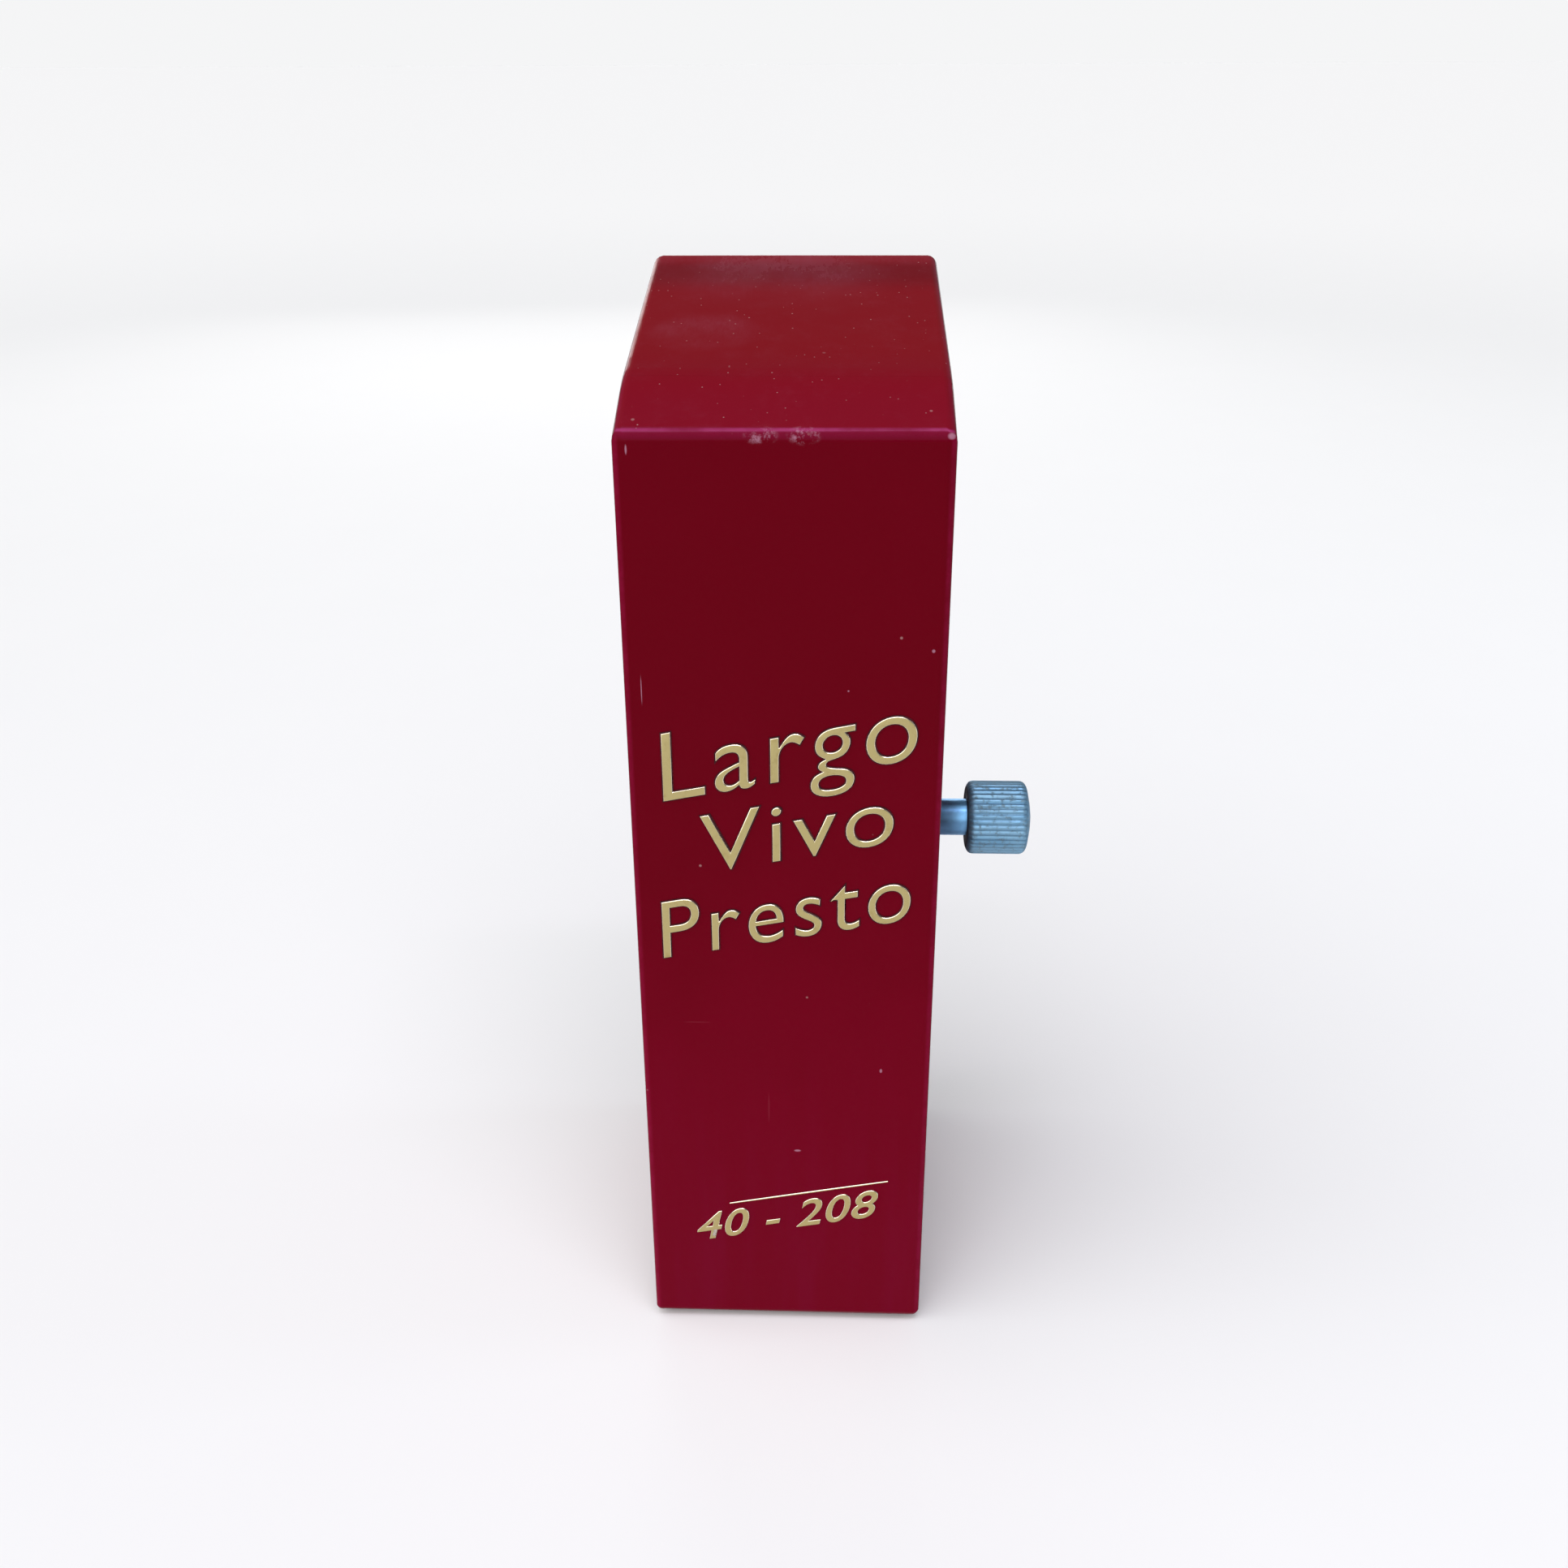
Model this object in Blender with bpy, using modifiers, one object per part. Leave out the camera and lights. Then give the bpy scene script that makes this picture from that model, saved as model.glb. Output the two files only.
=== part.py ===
"""Pocket pendulum metronome, wound by a knob on its right side.

The frame: the origin is the middle of the base pad's underside, +Z is up, the lid's front faces -Y
and the winding knob is on +X. Named sizes are in millimetres, and the helpers turn them into metres.
The barrel, train and winding arbors run along X, and the pendulum swings about Y.
"""

import math

import bpy
import bmesh
from mathutils import Matrix, Vector

MM = 0.001
OBJECT_NAME = "metronome"

# Case, outside
CASE_HALF_W = 16.5
FRONT_Y = -21.65
BACK_Y = 21.65
BASE_Z = 0.6  # the case stands this high on its pad
FRONT_TOP_Z = BASE_Z + 111.3
SEAM_Y = FRONT_Y + 8.76  # lid and body meet where the top changes slope
SEAM_TOP_Z = FRONT_TOP_Z + 3.63
BACK_TOP_Z = FRONT_TOP_Z + 11.28
EDGE_R = 1.1
SEAM_GAP = 0.06
WALL = 1.6
LID_WALL = 1.5
BEVEL_STEPS = 4
FOLD_REACH = 2.0  # the top bends between its two slopes over this far to each side of the seam
FOLD_STEPS = 6
TOUCH = 0.1  # gap between two flat faces that rest on each other
RUN = 0.1  # radial play of a shaft in its hole
CUT_OVER = 1.0  # how far a cutter runs past what it cuts
SMALL_STEPS = 14  # sides of screws and other small round pieces
HOLE_STEPS = 18
FAR_LOW = (-20.0, -30.0, -5.0)  # corners of a box well round the whole case
FAR_HIGH = (20.0, 30.0, 130.0)

# Base and inner front panel
COVER_T = 1.5
COVER_TOP_Z = BASE_Z + COVER_T
COVER_HALF_W = 14.7
PAD_T = 0.5
PAD_HALF_W = 12.5
PAD_FRONT_Y = -11.5
PAD_BACK_Y = 12.5
FASCIA_HALF_W = 14.6
FASCIA_FRONT_Y = -15.4
FASCIA_PANEL_Y = -13.2
FASCIA_BACK_Y = -11.6
FASCIA_LOW_Z = 2.4
FASCIA_TOP_Z = 112.2
FASCIA_RIM = 1.0
SCALE_HALF_W = 11.5
SCALE_T = 0.4
SCALE_LOW_Z = 50.0
SCALE_TOP_Z = 100.5

# Axes, as (y, z) for what runs along X
BARREL = (2.35, 59.2)
ESCAPE = (0.0, 36.0)
STAFF_Z = 44.6

# Screws: places and sizes
BASE_SCREW = (11.2, 15.8)  # x, y, on both sides
FASCIA_SCREW = (11.6, 7.6)  # x, z, on both sides
CASE_SCREW_HEIGHTS = (40.0, 66.0)
SCALE_RIVETS = (52.4, 98.3)
PILOT_R = 0.95
SCREW_R = 0.7
THIN_SCREW_R = 0.6
SCREW_HEAD_R = 1.5
SCREW_HEAD_T = 0.8
SLOT_HALF_W = 0.2
SLOT_DEPTH = 0.45
HEAD_GAP = 0.06  # between a screw's head and the piece that it holds

# Blocks moulded inside the body for the base and fascia screws, and the holes through the body
BOSS_FRONT_Y = 16.9
BUSH_HOLE_R = 3.4
BOSSES = [
    ("base_boss_left", (-15.4, 13.4, 2.4), (-8.8, 20.6, 9.0)),
    ("base_boss_right", (8.8, 13.4, 2.4), (15.4, 20.6, 9.0)),
    ("fascia_boss_left", (-15.4, -11.3, 5.2), (-9.4, -5.5, 10.2)),
    ("fascia_boss_right", (9.4, -11.3, 5.2), (15.4, -5.5, 10.2)),
]
# axis, start, end, the other two coordinates, radius
BODY_HOLES = [
    ("X", 12.0, 18.0, BARREL, BUSH_HOLE_R),
    ("Z", 1.0, 7.6, (-BASE_SCREW[0], BASE_SCREW[1]), PILOT_R),
    ("Z", 1.0, 7.6, BASE_SCREW, PILOT_R),
    ("Y", -13.0, -6.6, (-FASCIA_SCREW[0], FASCIA_SCREW[1]), PILOT_R),
    ("Y", -13.0, -6.6, FASCIA_SCREW, PILOT_R),
    ("Y", 15.0, 23.0, (0, CASE_SCREW_HEIGHTS[0]), 1.2),
    ("Y", 15.0, 23.0, (0, CASE_SCREW_HEIGHTS[1]), 1.2),
    ("Y", BACK_Y - 0.9, 23.0, (0, CASE_SCREW_HEIGHTS[0]), 2.5),
    ("Y", BACK_Y - 0.9, 23.0, (0, CASE_SCREW_HEIGHTS[1]), 2.5),
]

# Wheels: teeth, module in mm
GREAT_TEETH = 32
PINION_TEETH = 10
MIDDLE_TEETH = 38
MODULE_1 = 0.6
MODULE_2 = 0.5
CENTRE_PLAY = 0.06  # the centres stand this much further apart than the pitch circles ask
TOOTH_THINNING = 0.05  # taken off each flank, for backlash
PRESSURE_ANGLE = math.radians(20)
WHEEL_ADDENDUM = 0.65
PINION_ADDENDUM = 0.9
ESCAPE_TEETH = 15
ESCAPE_R = 6.5
ESCAPE_ROOT_R = 5.1
RATCHET_TEETH = 12
RATCHET_R = 6.4
RATCHET_ROOT_R = 5.0
DRUM_R = 9.2
DRUM_WALL = 0.8
SPRING_TURNS = 5
SPRING_STEPS = 16
SPRING_HALF_T = 0.16

# Click
CLICK_X = (10.9, 12.0)
CLICK_ANGLE = math.radians(30)  # the direction of the ratchet tooth that the click holds
CLICK_RISE = math.radians(15)
CLICK_LENGTH = 7.5
CLICK_TIP_R = 6.3
CLICK_EYE_R = 1.8
CLICK_SPRING_FOOT = (12.2, 62.6)

# Movement frame
PLATE_IN_X = 9.3
PLATE_T = 1.2
PLATE_OUT_X = PLATE_IN_X + PLATE_T
PLATE_FRONT_Y = -8.5
PLATE_BACK_Y = 15.0
PLATE_LOW_Z = 28.4
PLATE_TOP_Z = 73.0
PILLARS = {
    "upper_front": (-6.3, 70.2),
    "upper_rear": (12.4, 70.2),
    "lower_front": (-6.3, 30.6),
    "lower_rear": (12.4, 30.6),
}
PILLAR_R = 1.6
TAB_HEIGHTS = ((46.0, 51.0), (55.0, 60.0))
BRACKET_FRONT_Y = 15.2
BRACKET_BACK_Y = 16.3
BRACKET_HALF_W = 12.0
BRACKET_LOW_Z = 35.0
BRACKET_TOP_Z = 71.0
BRIDGE_Y = -7.6
COCK_Y = 9.8
STRAP_HALF_H = 2.1
STRAP_HALF_T = 0.9

# Knob and stem
KNOB_IN_X = 21.4
KNOB_OUT_X = 29.3
KNOB_R = 4.5
KNOB_FLUTES = 36
KNOB_FLUTE_DEPTH = 0.22
KNOB_END_R = 1.1  # the rounding of its outer end
KNOB_BORE_R = 1.5
STEM_R = 2.25
ARBOR_R = 1.5
HUB_R = 2.2
BUSH_FLANGE_R = 4.4

# Pendulum
ROD_HALF_W = 1.1
ROD_FRONT_Y = -17.4
ROD_BACK_Y = -16.5
ROD_LOW_Z = 41.4
ROD_TOP_Z = 105.0
STAFF_R = 1.0
PIVOT_R = 0.7  # of the staff's ends, where the bridges carry it
STAFF_FRONT_Y = -15.9
STAFF_BACK_Y = 10.6
PALLET_Y = 3.3
PALLET_HALF_T = 0.7
COUNTERWEIGHT_R = 7.0
COUNTERWEIGHT_Z = STAFF_Z - 27.0
ARM_HALF_W = 2.6
ARM_WAIST = 1.7
WEIGHT_LOW_Z = 50.2
WEIGHT_H = 9.0
WEIGHT_FRONT_Y = -19.4
WEIGHT_BACK_Y = -15.7
ROD_CLEARANCE = 0.25  # round the rod in the weight

# How each flat outline's own (u, v, normal) lies: facing X it is drawn in (y, z), facing Y in (x, z)
FACING = {
    "X": Matrix(((0, 0, 1), (1, 0, 0), (0, 1, 0))).to_4x4(),
    "Y": Matrix(((1, 0, 0), (0, 0, -1), (0, 1, 0))).to_4x4(),
    "Z": Matrix.Identity(4),
}
# How a turned piece's own axis, +Z, lies
ALONG = {
    "X": FACING["X"],
    "Y": Matrix(((1, 0, 0), (0, 0, 1), (0, -1, 0))).to_4x4(),
    "Z": Matrix.Identity(4),
}


def clear_scene():
    for obj in list(bpy.data.objects):
        bpy.data.objects.remove(obj)


def new_collection(name):
    collection = bpy.data.collections.new(name)
    bpy.context.scene.collection.children.link(collection)
    return collection


def material(name, colour, roughness, metallic=0.0):
    made = bpy.data.materials.new(name)
    made.use_nodes = True
    shader = made.node_tree.nodes["Principled BSDF"]
    shader.inputs["Base Color"].default_value = (*colour, 1.0)
    shader.inputs["Roughness"].default_value = roughness
    shader.inputs["Metallic"].default_value = metallic
    return made


clear_scene()
PARTS = new_collection(OBJECT_NAME)
CUTTERS = new_collection("cutters")
CRIMSON = material("crimson_plastic", (0.16, 0.002, 0.008), 0.22)
BLACK = material("black_plastic", (0.02, 0.02, 0.022), 0.45)
BRASS = material("brass", (0.62, 0.46, 0.18), 0.32, 1.0)
STEEL = material("steel", (0.55, 0.56, 0.58), 0.3, 1.0)
BLUED = material("spring_steel", (0.12, 0.14, 0.2), 0.35, 1.0)
ALUMINIUM = material("knob_aluminium", (0.36, 0.5, 0.6), 0.45, 1.0)
SCALE = material("scale_aluminium", (0.7, 0.66, 0.52), 0.4, 1.0)
ZINC = material("zinc_alloy", (0.3, 0.31, 0.33), 0.5, 1.0)
FELT = material("felt", (0.03, 0.03, 0.03), 0.95)


def place(obj, name, collection, finish=None):
    """Names the object, gives it its own copy of the finish and puts it in one collection."""
    obj.name = name
    obj.data.name = name
    for old in list(obj.users_collection):
        old.objects.unlink(obj)
    collection.objects.link(obj)
    obj.data.materials.clear()
    if finish:
        own = finish.copy()
        own.name = name
        obj.data.materials.append(own)
    if collection is CUTTERS:
        obj.hide_render = True
        obj.display_type = "WIRE"
    return obj


def at(x, y, z):
    return Matrix.Translation(Vector((x, y, z)) * MM)


def box(name, low, high, finish=None, collection=None):
    """A box between two corners."""
    low = Vector(low) * MM
    high = Vector(high) * MM
    bpy.ops.mesh.primitive_cube_add(size=1.0)
    obj = bpy.context.active_object
    obj.data.transform(Matrix.Diagonal((*(high - low), 1.0)))
    obj.location = (low + high) / 2
    return place(obj, name, collection or PARTS, finish)


def cutter_rod(name, axis, start, end, across, radius, steps=HOLE_STEPS):
    """A cylinder among the cutters, along an axis; across holds its other two coordinates, in order."""
    bpy.ops.mesh.primitive_cylinder_add(vertices=steps, radius=radius * MM, depth=(end - start) * MM)
    obj = bpy.context.active_object
    obj.matrix_world = centre_matrix(axis, (start + end) / 2, across) @ ALONG[axis]
    soften(obj)
    return place(obj, name, CUTTERS)


def centre_matrix(axis, along, across):
    a, b = across
    spot = {"X": (along, a, b), "Y": (a, along, b), "Z": (a, b, along)}[axis]
    return at(*spot)


def soften(obj):
    """Smooth shading, with edges over 35 degrees kept sharp."""
    obj.data.shade_smooth()
    obj.data.set_sharp_from_angle(angle=math.radians(35))


def turned(name, axis, across, profile, finish=None, steps=32, loop=False, collection=None):
    """A profile of (radius, place along the axis), from the high end down the outside, turned about it."""
    mesh = bpy.data.meshes.new(name)
    points = [(r * MM, 0.0, along * MM) for r, along in profile]
    edges = [(i, i + 1) for i in range(len(points) - 1)]
    if loop:
        edges.append((len(points) - 1, 0))
    mesh.from_pydata(points, edges, [])
    obj = bpy.data.objects.new(name, mesh)
    bpy.context.scene.collection.objects.link(obj)
    obj.matrix_world = centre_matrix(axis, 0.0, across) @ ALONG[axis]
    screw = obj.modifiers.new("turn", "SCREW")
    screw.steps = steps
    screw.render_steps = steps
    screw.use_merge_vertices = True
    screw.merge_threshold = 0.00001
    screw.use_smooth_shade = False
    return as_mesh(obj, name, finish, collection)


def as_mesh(source, name, finish=None, collection=None, smooth=True):
    """The object as its modifiers or its curve leave it, as a welded mesh in the same place."""
    bpy.context.view_layer.update()
    graph = bpy.context.evaluated_depsgraph_get()
    mesh = bpy.data.meshes.new_from_object(source.evaluated_get(graph))
    work = bmesh.new()
    work.from_mesh(mesh)
    bmesh.ops.remove_doubles(work, verts=work.verts, dist=0.000005)
    work.to_mesh(mesh)
    work.free()
    obj = bpy.data.objects.new(name, mesh)
    bpy.context.scene.collection.objects.link(obj)
    obj.matrix_world = source.matrix_world.copy()
    bpy.data.objects.remove(source)
    if smooth:
        soften(obj)
    return place(obj, name, collection or PARTS, finish)


def prism(name, facing, start, end, outline, finish=None, holes=(), across=(0, 0), collection=None):
    """A flat outline, with any holes, from start to end along the axis that it faces."""
    curve = bpy.data.curves.new(name, "CURVE")
    curve.dimensions = "2D"
    curve.fill_mode = "BOTH"
    curve.extrude = (end - start) / 2 * MM
    for ring in (outline, *holes):
        spline = curve.splines.new("POLY")
        spline.points.add(len(ring) - 1)
        for point, (u, v) in zip(spline.points, ring):
            point.co = (u * MM, v * MM, 0.0, 1.0)
        spline.use_cyclic_u = True
    obj = bpy.data.objects.new(name, curve)
    bpy.context.scene.collection.objects.link(obj)
    obj.matrix_world = centre_matrix(facing, (start + end) / 2, across) @ FACING[facing]
    return as_mesh(obj, name, finish, collection)


def ring(radius, centre=(0, 0), steps=20, first=0.0):
    """Points of a circle."""
    angles = [first + math.tau * i / steps for i in range(steps)]
    return [(centre[0] + radius * math.cos(a), centre[1] + radius * math.sin(a)) for a in angles]


def rectangle(u0, v0, u1, v1, radius=0.0, steps=4):
    """Corners of a rectangle, rounded where a radius is given."""
    if not radius:
        return [(u0, v0), (u1, v0), (u1, v1), (u0, v1)]
    points = []
    corners = ((u1 - radius, v1 - radius), (u0 + radius, v1 - radius))
    corners += ((u0 + radius, v0 + radius), (u1 - radius, v0 + radius))
    for quarter, (u, v) in enumerate(corners):
        for i in range(steps + 1):
            a = math.pi / 2 * (quarter + i / steps)
            points.append((u + radius * math.cos(a), v + radius * math.sin(a)))
    return points


def boolean(obj, other, operation="DIFFERENCE"):
    change = obj.modifiers.new(operation.lower(), "BOOLEAN")
    change.operation = operation
    change.object = other
    return obj


def union(name, first, second, finish):
    """Two shapes made one piece."""
    boolean(first, second, "UNION")
    joined = as_mesh(first, name, finish)
    bpy.data.objects.remove(second)
    return joined


def round_edges(obj, width, steps=2, angle=30):
    change = obj.modifiers.new("round_edges", "BEVEL")
    change.width = width * MM
    change.segments = steps
    change.limit_method = "ANGLE"
    change.angle_limit = math.radians(angle)
    return obj


# ---------------------------------------------------------------- case


def slope_z(y):
    """Height of the case's outside top at y."""
    if y < SEAM_Y:
        return FRONT_TOP_Z + (y - FRONT_Y) * (SEAM_TOP_Z - FRONT_TOP_Z) / (SEAM_Y - FRONT_Y)
    return SEAM_TOP_Z + (y - SEAM_Y) * (BACK_TOP_Z - SEAM_TOP_Z) / (BACK_Y - SEAM_Y)


def inner_top(y, wall):
    """Height of the wall's underside at y, for a wall of even thickness under the sloping top."""
    front = y < SEAM_Y
    rise = (SEAM_TOP_Z - FRONT_TOP_Z) if front else (BACK_TOP_Z - SEAM_TOP_Z)
    run = (SEAM_Y - FRONT_Y) if front else (BACK_Y - SEAM_Y)
    return slope_z(y) - wall / math.cos(math.atan2(rise, run))


def fold():
    """The top's soft bend, from back to front, as a curve between two points on its slopes."""
    start = (SEAM_Y + FOLD_REACH, slope_z(SEAM_Y + FOLD_REACH))
    end = (SEAM_Y - FOLD_REACH, slope_z(SEAM_Y - FOLD_REACH))
    points = []
    for i in range(FOLD_STEPS + 1):
        t = i / FOLD_STEPS
        weights = ((1 - t) ** 2, 2 * t * (1 - t), t**2)
        spots = (start, (SEAM_Y, SEAM_TOP_Z), end)
        points.append(tuple(sum(w * spot[k] for w, spot in zip(weights, spots)) for k in (0, 1)))
    return points


def outer_case(name):
    """The whole case's rounded outside, before the seam divides it."""
    side = [(FRONT_Y, BASE_Z), (BACK_Y, BASE_Z), (BACK_Y, BACK_TOP_Z), *fold()]
    side.append((FRONT_Y, FRONT_TOP_Z))
    shell = prism(name, "X", -CASE_HALF_W, CASE_HALF_W, side, CRIMSON)
    return round_edges(shell, EDGE_R, BEVEL_STEPS)


def build_lid():
    """The front tray: front wall, side walls, sloping top and bottom."""
    lid = outer_case("lid")
    corner = (FAR_HIGH[0], SEAM_Y - SEAM_GAP / 2, FAR_HIGH[2])
    keep = box("lid_part", FAR_LOW, corner, collection=CUTTERS)
    boolean(lid, keep, "INTERSECT")
    inside_y = FRONT_Y + WALL
    hollow_side = [
        (inside_y, BASE_Z + LID_WALL),
        (SEAM_Y + CUT_OVER, BASE_Z + LID_WALL),
        (SEAM_Y + CUT_OVER, inner_top(SEAM_Y - 0.001, LID_WALL) + 0.4),
        (SEAM_Y, inner_top(SEAM_Y - 0.001, LID_WALL)),
        (inside_y, inner_top(inside_y, LID_WALL)),
    ]
    half = CASE_HALF_W - LID_WALL
    hollow = prism("lid_hollow", "X", -half, half, hollow_side, collection=CUTTERS)
    boolean(lid, hollow)


def build_case_body():
    """The rear shell: side walls, back and sloping top, open at the front and underneath."""
    body = outer_case("case_body")
    corner = (FAR_LOW[0], SEAM_Y + SEAM_GAP / 2, FAR_LOW[2])
    keep = box("body_part", corner, FAR_HIGH, collection=CUTTERS)
    boolean(body, keep, "INTERSECT")
    inside_y = BACK_Y - WALL
    hollow_side = [
        (SEAM_Y - CUT_OVER, BASE_Z - CUT_OVER),
        (inside_y, BASE_Z - CUT_OVER),
        (inside_y, inner_top(inside_y, WALL)),
        (SEAM_Y - CUT_OVER, inner_top(SEAM_Y, WALL)),
    ]
    half = CASE_HALF_W - WALL
    hollow = prism("body_hollow", "X", -half, half, hollow_side, collection=CUTTERS)
    boolean(body, hollow)
    for name, low, high in BOSSES:
        boolean(body, box(name, low, high, collection=CUTTERS), "UNION")
    for z in CASE_SCREW_HEIGHTS:
        boss = cutter_rod("back_boss", "Y", BOSS_FRONT_Y, inside_y + 0.5, (0, z), 3.0)
        boolean(body, boss, "UNION")
    for index, place_and_size in enumerate(BODY_HOLES):
        boolean(body, cutter_rod(f"body_hole_{index}", *place_and_size))


def screw(name, axis, seat, tip, across, head_r, head_t, finish=STEEL, shank_r=SCREW_R):
    """A slotted cheese-head screw whose head stands on its seat, away from the tip."""
    way = 1.0 if seat > tip else -1.0
    profile = [(0, seat + way * head_t), (head_r, seat + way * head_t), (head_r, seat)]
    profile += [(shank_r, seat), (shank_r, tip), (0, tip)]
    if way < 0:
        profile.reverse()
    made = turned(name, axis, across, profile, finish, steps=SMALL_STEPS)
    top = seat + way * head_t
    floor = top - way * min(SLOT_DEPTH, head_t / 2)
    low = min(floor, top + way)
    high = max(floor, top + way)
    reach = head_r + 0.5
    a, b = across
    b0, b1 = b - SLOT_HALF_W, b + SLOT_HALF_W
    slot_low = {"X": (low, a - reach, b0), "Y": (a - reach, low, b0), "Z": (a - reach, b0, low)}
    slot_high = {"X": (high, a + reach, b1), "Y": (a + reach, high, b1), "Z": (a + reach, b1, high)}
    boolean(made, box(f"{name}_slot", slot_low[axis], slot_high[axis], collection=CUTTERS))
    return made


def build_base():
    """The cover that closes the body underneath, its two screws and the felt pad."""
    outline = rectangle(-COVER_HALF_W, SEAM_Y + 0.3, COVER_HALF_W, BACK_Y - WALL - 0.2, 0.5, 2)
    spots = [(-BASE_SCREW[0], BASE_SCREW[1]), BASE_SCREW]
    holes = [ring(PILOT_R, spot) for spot in spots]
    cover = prism("base_cover", "Z", BASE_Z, COVER_TOP_Z, outline, BLACK, holes)
    for side, spot in zip(("left", "right"), spots):
        boolean(cover, cutter_rod(f"base_sink_{side}", "Z", BASE_Z - 1, BASE_Z + 0.85, spot, 2.1))
        screw(f"base_screw_{side}", "Z", BASE_Z + 0.8, 7.0, spot, 1.85, 0.7)
    pad = rectangle(-PAD_HALF_W, PAD_FRONT_Y, PAD_HALF_W, PAD_BACK_Y, 1.5)
    prism("base_pad", "Z", 0.0, PAD_T, pad, FELT)


def build_fascia():
    """The inner front panel: a shallow tray whose rim locates the lid."""
    outer = rectangle(-FASCIA_HALF_W, FASCIA_LOW_Z, FASCIA_HALF_W, FASCIA_TOP_Z, 0.6, 2)
    fascia = prism("fascia", "Y", FASCIA_FRONT_Y, FASCIA_BACK_Y, outer, BLACK)
    inner_half = FASCIA_HALF_W - FASCIA_RIM
    inner = rectangle(
        -inner_half, FASCIA_LOW_Z + FASCIA_RIM, inner_half, FASCIA_TOP_Z - FASCIA_RIM, 0.4, 2
    )
    boolean(fascia, prism("fascia_recess", "Y", -17, FASCIA_PANEL_Y, inner, collection=CUTTERS))
    x, z = FASCIA_SCREW
    holes = [(0, STAFF_Z, 3.4), (-x, z, PILOT_R), (x, z, PILOT_R)]
    holes += [(0, z, 0.75) for z in SCALE_RIVETS]
    for index, (x, z, radius) in enumerate(holes):
        boolean(fascia, cutter_rod(f"fascia_hole_{index}", "Y", -17, -10, (x, z), radius))
    for side, x in (("left", -FASCIA_SCREW[0]), ("right", FASCIA_SCREW[0])):
        seat = FASCIA_PANEL_Y - TOUCH
        screw(f"fascia_screw_{side}", "Y", seat, -7.0, (x, FASCIA_SCREW[1]), 1.6, 0.9, BRASS)


def build_scale():
    """The tempo scale and the two rivets that hold it on the fascia."""
    back = FASCIA_PANEL_Y - TOUCH
    outline = rectangle(-SCALE_HALF_W, SCALE_LOW_Z, SCALE_HALF_W, SCALE_TOP_Z, 1.0, 3)
    holes = [ring(0.75, (0, z), 16) for z in SCALE_RIVETS]
    prism("scale_plate", "Y", back - SCALE_T, back, outline, SCALE, holes)
    seat = back - SCALE_T - HEAD_GAP
    for where, z in zip(("lower", "upper"), SCALE_RIVETS):
        profile = [(0, -12.0), (0.6, -12.0), (0.6, seat), (1.2, seat)]
        profile += [(1.2, seat - 0.15), (0.8, seat - 0.45), (0, seat - 0.5)]
        turned(f"scale_rivet_{where}", "Y", (0, z), profile, BRASS, steps=SMALL_STEPS)


def build_rod_clip():
    """A bracket above the scale whose two prongs hold the rod's tip when it is pressed back."""
    back = FASCIA_PANEL_Y - TOUCH
    foot = box("rod_clip_foot", (-2.0, back - 0.5, 102.6), (2.0, back, 109.0))
    for side in (-1, 1):
        inner = side * (ROD_HALF_W + 0.15)
        outer = side * 2.0
        low = (min(inner, outer), ROD_BACK_Y + 0.3, 102.6)
        high = (max(inner, outer), back - 0.3, 104.6)
        prong = box("rod_clip_prong", low, high, collection=CUTTERS)
        boolean(foot, prong, "UNION")
    as_mesh(foot, "rod_clip", BRASS, smooth=False)
    for prong in [obj for obj in CUTTERS.objects if obj.name.startswith("rod_clip_prong")]:
        bpy.data.objects.remove(prong)


# ---------------------------------------------------------------- movement frame


def middle_arbor():
    """Where the intermediate arbor lies: in mesh with both the barrel and the escape pinion."""
    first = MODULE_1 * (GREAT_TEETH + PINION_TEETH) / 2 + CENTRE_PLAY
    second = MODULE_2 * (MIDDLE_TEETH + PINION_TEETH) / 2 + CENTRE_PLAY
    start = Vector(BARREL)
    line = Vector(ESCAPE) - start
    along = (first**2 - second**2 + line.length**2) / (2 * line.length)
    aside = math.sqrt(first**2 - along**2)
    ahead = line.normalized()
    spot = start + ahead * along + Vector((-ahead.y, ahead.x)) * aside
    return (spot.x, spot.y)


def click_frame():
    """The held tooth's direction from the barrel axis, and the direction along the click."""
    outward = Vector((math.cos(CLICK_ANGLE), math.sin(CLICK_ANGLE)))
    around = Vector((-outward.y, outward.x))
    return outward, around


def click_pivot():
    outward, around = click_frame()
    lift = outward * math.sin(CLICK_RISE) + around * math.cos(CLICK_RISE)
    spot = Vector(BARREL) + outward * CLICK_TIP_R + lift * CLICK_LENGTH
    return (spot.x, spot.y)


MIDDLE = middle_arbor()
CLICK_PIVOT = click_pivot()


def build_plates():
    """The two movement plates, with pivot holes, screw holes and the rear tabs."""
    pivots = {"left": 0.9 + RUN, "right": ARBOR_R + RUN}
    for side, sign in (("left", -1), ("right", 1)):
        outline = plate_outline()
        holes = [ring(pivots[side], BARREL, HOLE_STEPS)]
        holes += [ring(0.6 + RUN, spot, 12) for spot in (MIDDLE, ESCAPE)]
        holes += [ring(SCREW_R + RUN, spot, 12) for spot in PILLARS.values()]
        if side == "right":
            holes += [ring(0.75, CLICK_PIVOT, 12), ring(0.75, CLICK_SPRING_FOOT, 12)]
            holes += [ring(0.8, (COCK_Y, STAFF_Z), 12)]
        holes += [ring(0.8, (BRIDGE_Y, STAFF_Z), 12)]
        ends = sorted((sign * PLATE_IN_X, sign * PLATE_OUT_X))
        prism(f"plate_{side}", "X", *ends, outline, BRASS, holes)


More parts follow.
